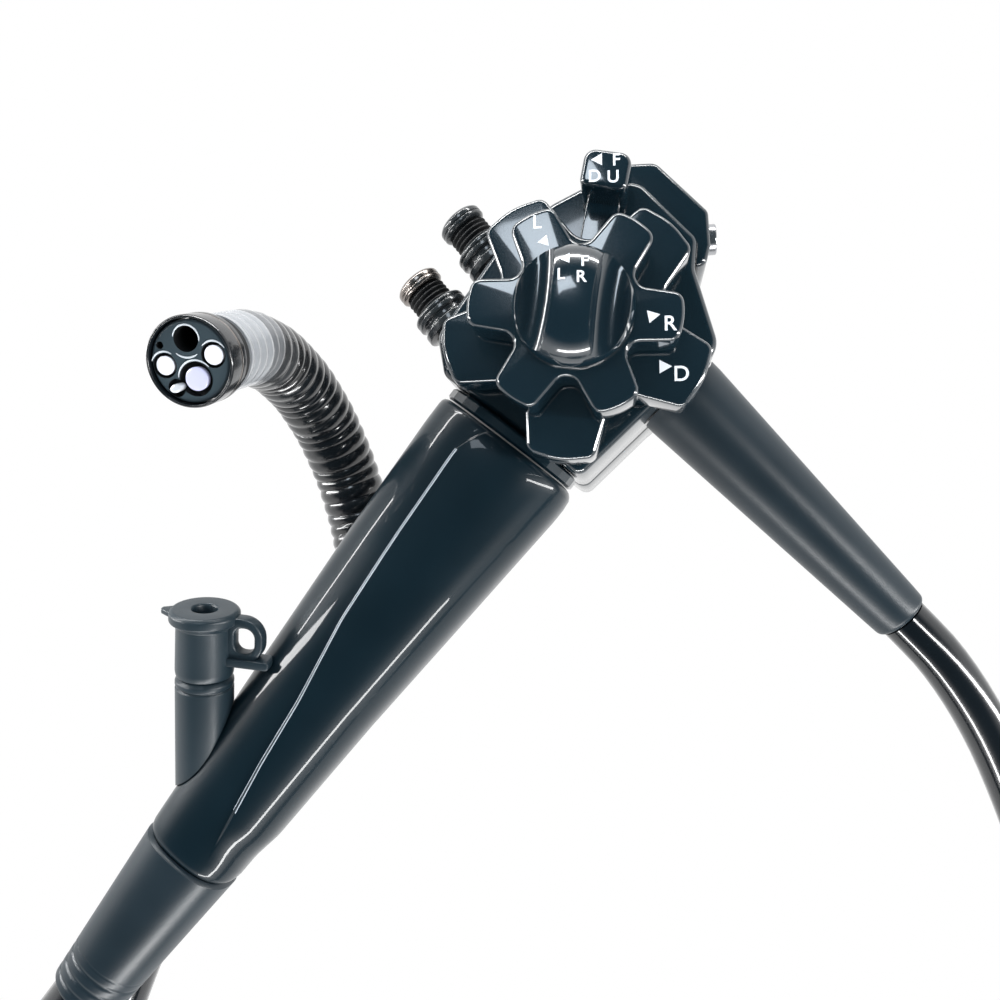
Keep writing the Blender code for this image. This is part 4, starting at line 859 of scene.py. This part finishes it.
def distal_end(place):
    """The tip: its body with every opening, its hood, lenses, nozzle and face ridges."""
    low, face, step = 5.3, TIP_FACE, 9.1
    outside = [(0, low), (6.6, low), (6.6, step), (7.6, step + 0.3), (7.6, face - 0.4), (7.2, face),
               (0, face)]
    body = turned("distal_body_look", soft_profile(outside, 0.15), [FACE, DARK], place, angle=30)
    for name, (x, y, radius, moat) in FACE_ITEMS.items():
        seat = place @ Matrix.Translation((x, y, 0))
        bottom = low - 1 if name == "instrument_channel" else face - 1.6
        wide = radius + moat
        cut(body, turned("seat", [(0, bottom), (wide, bottom), (wide, face + 1), (0, face + 1)],
                         [FACE, DARK], seat, sides=72, index=1))
    baked(body)
    for polygon in body.data.polygons:
        if polygon.center.z < (face - 0.5) * MM:
            polygon.material_index = 1
    show(body, "link_12", "tip_plastic", "distal_body")
    band = [(8.2, face - 4.1), (8.45, face - 4.1), (8.48, face - 3.8), (8.45, face - 3.5), (8.2, face - 3.5)]
    show(turned("distal_hood_band", band, BRONZE, place), "link_12", "hood_plastic")
    hood = [(7.9, face - 6), (8.1, face - 6), (8.5, face - 5.5), (8.5, face - 4.2), (8.35, face - 4.0),
            (8.35, face - 3.6), (8.5, face - 3.4), (8.5, face + 0.3), (8.25, face + 0.7), (8.0, face + 0.7),
            (7.9, face + 0.5)]
    show(turned("distal_hood_look", soft_profile(hood, 0.2), HOOD, place), "link_12", "hood_plastic",
         "distal_hood")
    for name in ("objective_lens", "light_lens_left", "light_lens_right"):
        surface, domed = (LENS, 0.35) if name == "objective_lens" else (LIGHT_GLASS, 0.15)
        x, y, radius, _ = FACE_ITEMS[name]
        profile = [(0, face - 1.3), (radius, face - 1.3), (radius, face - 0.15)]
        profile += [(radius * cos(a), face - 0.15 + domed * sin(a))
                    for a in (radians(10 * k) for k in range(1, 9))]
        made = turned(name + "_look", [*profile, (0, face - 0.15 + domed)], surface,
                      place @ Matrix.Translation((x, y, 0)), sides=72)
        show(made, "link_12", "lens_glass", name)
    x, y, radius, _ = FACE_ITEMS["water_nozzle"]
    nozzle = lofted("water_nozzle_look", [
        [(1.25 * s * radius * cos(a), 0.8 * s * radius * sin(a), face + z) for a in angles(48)]
        for s, z in ((0.9, -1.3), (0.9, 0.3), (0.8, 0.6), (0.55, 0.75))],
        NOZZLE, place @ Matrix.Translation((x, y, 0)))
    show(nozzle, "link_12", "lens_glass", "water_nozzle")
    ridges, up = [], Vector((0, 0, 1))
    # thin arcs round the openings: middle, radius, first and last angle
    for x, y, radius, first, last in (
            (-1.0, -4.0, 2.55, 150, 330), (-1.0, -4.0, 3.4, 30, 105), (-4.7, 0.5, 2.6, 190, 300),
            (5.0, -1.0, 2.6, 215, 320), (0.3, 3.3, 3.45, 200, 335)):
        bm = bmesh.new()
        rings = []
        for k in range(33):
            a = radians(first + (last - first) * k / 32)
            thick = 0.17 * sin(pi * (k + 0.6) / 33.2) ** 0.5 + 0.02
            middle = Vector((x + radius * cos(a), y + radius * sin(a), face + 0.03))
            out = Vector((cos(a), sin(a), 0))
            rings.append([middle + (out * cos(c) + up * sin(c)) * thick for c in angles(12)])
        skin(bm, rings)
        ridges.append(finish("ridge", bm, RIDGE, place))
    show(joined("distal_face_ridges", *ridges), "link_12", "tip_plastic")


chain_start, chain_hinges = chain()
sleeve(chain_start, chain_hinges)
distal_end(chain_hinges[-1])


# Cords
def smooth(points, step):
    """Evenly spaced points along a Catmull-Rom curve through the given ones."""
    ends = [2 * points[0] - points[1], *points, 2 * points[-1] - points[-2]]
    fine = []
    for a, b, c, d in zip(ends, ends[1:], ends[2:], ends[3:]):
        for k in range(16):
            t = k / 16
            curve = 2 * b + (c - a) * t + (2 * a - 5 * b + 4 * c - d) * t * t
            fine.append((curve + (3 * b - a - 3 * c + d) * t ** 3) / 2)
    fine.append(points[-1])
    spaced, run = [fine[0]], 0.0
    for p, q in zip(fine, fine[1:]):
        run += (q - p).length
        if run >= step:
            spaced.append(q.copy())
            run = 0.0
    if (spaced[-1] - fine[-1]).length < step / 2:
        spaced.pop()
    return [*spaced, fine[-1]]


def tube(name, points, radius, surface):
    """A round capped cord through points in metres."""
    curve = bpy.data.curves.new(name, "CURVE")
    curve.dimensions = "3D"
    spline = curve.splines.new("POLY")
    spline.points.add(len(points) - 1)
    for knot, p in zip(spline.points, points):
        knot.co = (*p, 1)
    curve.bevel_depth = radius
    curve.bevel_resolution = 8
    curve.use_fill_caps = True
    curve.materials.append(surface)
    return added(name, curve)


def ease(value, start, end):
    """A smooth rise from 0 at the start to 1 at the end."""
    t = min(1.0, max(0.0, (value - start) / (end - start)))
    return t * t * (3 - 2 * t)


def mm(points):
    """Points in mm as vectors in metres."""
    return [Vector(p) * MM for p in points]


TUBE_REST, TUBE_LAYER = 7.3, 14.3
TUBE_OUT = [
    (-178.7, 0.8, 33), (-190, 0.8, 32.8), (-205, 1.2, 30.4), (-222, 1.6, 23.8), (-238, 0.6, 15.4),
    (-256.4, -1.8, 9), (-273.5, -8.9, 7.4), (-288.2, -20.2, 7.3), (-299.5, -34.9, 7.3),
    (-306.6, -52, 7.3), (-309, -70.4, 7.3), (-309, -95, 7.3), (-309, -120, 7.3),
    (-309, -143, 7.3), (-308.9, -166, 7.3)]
TUBE_BACK = [
    (-223.5, -116.6, 21.4), (-234.5, -106.3, 19.4), (-240.7, -97.8, 18.1), (-245.6, -86.2, 16),
    (-248.6, -74, 13.8), (-248.5, -57.8, 11.1), (-244.1, -42.2, 8.9), (-235.9, -28.2, 7.7),
    (-226.9, -18.9, 7.5), (-217.5, -12.4, 7.5), (-202, -5.6, 7.4), (-187, -0.2, 7.4),
    (-172, 3.8, 7.3), (-158, 4.6, 7.3), (-144, 3, 7.3), (-131, 0.6, 7.3), (-118, -1.4, 7.3),
    (-109, -2.1, 7.3), (-99.3, -1.25, 7.4), (-89.85, 1.28, 7.6), (-81, 5.4, 7.9), (-73, 11, 8.1),
    (-68.03, 15.6, 8.1), (-66.1, 17.9, 8.1)]
# centre and radius, then where the coil starts and how far it turns, in degrees
TUBE_COIL = (-238.7, -187.9, 70)
TUBE_COIL_START, TUBE_COIL_TURN = 180, 607
UNIVERSAL_REST, UNIVERSAL_LAYER = 5.4, 10.9
UNIVERSAL_OUT = [
    (-3.54, -90.6, 18.96), (-5.2, -101, 17.6), (-8.2, -111.5, 15.2), (-12.5, -122.4, 12),
    (-18, -133.2, 8.8), (-24.4, -144, 6.4), (-31.8, -156.4, 5.5), (-40.6, -170.6, 5.4),
    (-49, -184.3, 5.4), (-57.5, -198.2, 5.4)]
# centre, outer and inner radius
UNIVERSAL_COIL = (-16.5, -242, 57.9, 47.1)
UNIVERSAL_COIL_START, UNIVERSAL_COIL_TURN = 150, 1405
CONNECTOR_START = 37.6


def tube_route():
    """The insertion tube's path, with two layers in its coil."""
    x, y, r = TUBE_COIL
    points = list(TUBE_OUT)
    for turn in range(0, TUBE_COIL_TURN + 1, 6):
        a = radians(TUBE_COIL_START + turn)
        z = TUBE_REST + TUBE_LAYER * ease(turn, 262, 345)
        points.append((x + r * cos(a), y + r * sin(a), z))
    return mm(points + TUBE_BACK)


def universal_route():
    """The universal cord's path, through its coil's layers to the connector."""
    x, y, outer, inner = UNIVERSAL_COIL
    points = list(UNIVERSAL_OUT)
    for turn in range(0, UNIVERSAL_COIL_TURN + 1, 5):
        a = radians(UNIVERSAL_COIL_START + turn)
        r = outer - (outer - inner) * (ease(turn, 230, 360) - ease(turn, 1090, 1190))
        layer = ease(turn, 570, 665) + ease(turn, 930, 1025) - ease(turn, 1160, 1260)
        points.append((x + r * cos(a), y + r * sin(a), UNIVERSAL_REST + UNIVERSAL_LAYER * layer))
    leave = radians(UNIVERSAL_COIL_START + UNIVERSAL_COIL_TURN)
    end_x, end_y = x + outer * cos(leave), y + outer * sin(leave)
    for along, z in ((12.0, 16.6), (25.0, 17.1), (CONNECTOR_START - GAP, 17.3)):
        points.append((end_x - along * sin(leave), end_y + along * cos(leave), z))
    return mm(points)


tube_points = smooth(tube_route(), 5 * MM)
insertion = tube("insertion_tube_look", tube_points, TUBE_RADIUS * MM, CORD)
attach(insertion, "control_body")
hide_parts("insertion_tube_out", "insertion_coil", "insertion_tube_back")
cord_points = smooth(universal_route(), 4 * MM)
universal = tube("universal_cord_look", cord_points, UNIVERSAL_RADIUS * MM, CORD)
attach(universal, "control_body")
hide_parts("universal_cord", "universal_coil")


# Stage, lights and camera
def background_mix(tree, white, other, output):
    """Shows one shader to the camera and to reflections and another to every other ray."""
    nodes, links = tree.nodes, tree.links
    path = nodes.new("ShaderNodeLightPath")
    seen = path.outputs["Is Camera Ray"]
    for kind in ("Is Glossy Ray", "Is Transmission Ray"):
        either = nodes.new("ShaderNodeMath")
        either.operation = "MAXIMUM"
        links.new(seen, either.inputs[0])
        links.new(path.outputs[kind], either.inputs[1])
        seen = either.outputs["Value"]
    mix = nodes.new("ShaderNodeMixShader")
    links.new(seen, mix.inputs["Fac"])
    links.new(other.outputs[0], mix.inputs[1])
    links.new(white.outputs[0], mix.inputs[2])
    links.new(mix.outputs[0], output.inputs["Surface"])


def stage():
    """The floor and the world, which the camera and reflections see apart from the light they give."""
    bpy.ops.mesh.primitive_plane_add(size=6, location=(-0.1, -0.1, -0.0002))
    floor = bpy.context.object
    floor.name = "floor"
    surface = bpy.data.materials.new("floor")
    surface.use_nodes = True
    nodes = surface.node_tree.nodes
    shader = nodes["Principled BSDF"]
    settle(shader, Base_Color=(0.85, 0.86, 0.88, 1), Roughness=0.6)
    white = nodes.new("ShaderNodeEmission")
    settle(white, Strength=1.0)
    background_mix(surface.node_tree, white, shader, nodes["Material Output"])
    floor.data.materials.append(surface)

    world = bpy.data.worlds.new("world")
    bpy.context.scene.world = world
    world.use_nodes = True
    nodes, links = world.node_tree.nodes, world.node_tree.links
    dim = nodes["Background"]
    settle(dim, Color=(0.8, 0.88, 1.0, 1), Strength=0.55)
    white = nodes.new("ShaderNodeBackground")
    settle(white, Strength=1.0)
    place = nodes.new("ShaderNodeTexCoord")
    parts = nodes.new("ShaderNodeSeparateXYZ")
    links.new(place.outputs["Generated"], parts.inputs["Vector"])
    # white round the horizon, and a dark room overhead for the upward faces to mirror
    sky = nodes.new("ShaderNodeValToRGB")
    sky.color_ramp.elements[0].position, sky.color_ramp.elements[0].color = 0.25, (1, 1, 1, 1)
    sky.color_ramp.elements[1].position, sky.color_ramp.elements[1].color = 0.62, (0.03, 0.05, 0.06, 1)
    links.new(parts.outputs["Z"], sky.inputs["Fac"])
    links.new(sky.outputs["Color"], white.inputs["Color"])
    background_mix(world.node_tree, white, dim, nodes["World Output"])


def area_light(name, place, aim, size, power, colour=(1, 1, 1)):
    """A softbox at a point of the photo's directions in mm, facing another."""
    light = bpy.data.lights.new(name, "AREA")
    light.shape = "RECTANGLE"
    light.size, light.size_y = size[0] * MM, size[1] * MM
    light.energy = power
    light.color = colour
    made = added(name, light)
    here, there = from_photo(place), from_photo(aim)
    made.matrix_world = Matrix.Translation(here) @ (here - there).to_track_quat("Z", "Y").to_matrix().to_4x4()
    return made


def camera():
    """The camera, at the photo's angle."""
    data = bpy.data.cameras.new("camera")
    data.sensor_width = SENSOR_MM
    data.lens = FOCAL_PX / FRAME_PX * SENSOR_MM
    data.clip_start = 0.01
    data.clip_end = 20
    made = added("camera", data)
    back = CAMERA_BACK.normalized()
    right = Vector((0, 1, 0)).cross(back).normalized()
    up = back.cross(right)
    origin = from_photo((0, 0, 0))
    axes = [(from_photo(v) - origin).normalized() for v in (right, up, back)]
    turn = Matrix(axes).transposed().to_4x4()
    made.matrix_world = Matrix.Translation(from_photo(LOOK_AT + back * CAMERA_FAR)) @ turn
    bpy.context.scene.camera = made


stage()
camera()
area_light("right", (420, -60, 190), (0, 0, 40), (40, 560), 2.4)
area_light("left", (-430, 60, 150), (0, 0, 40), (36, 520), 1.8)
area_light("far", (0, 430, 170), (0, 0, 40), (520, 36), 1.8)
area_light("near", (60, -430, 160), (0, 0, 40), (520, 36), 2.0)
area_light("lobe", (-36, 208, 428), (8, 52, 67), (84, 96), 0.17, (0.8, 0.9, 1.0))
area_light("edge", (-300, 300, 200), (0, 0, 40), (520, 24), 1.3)

scene = bpy.context.scene
scene.view_settings.view_transform = "Standard"
scene.cycles.use_denoising = True
scene.cycles.max_bounces = 8
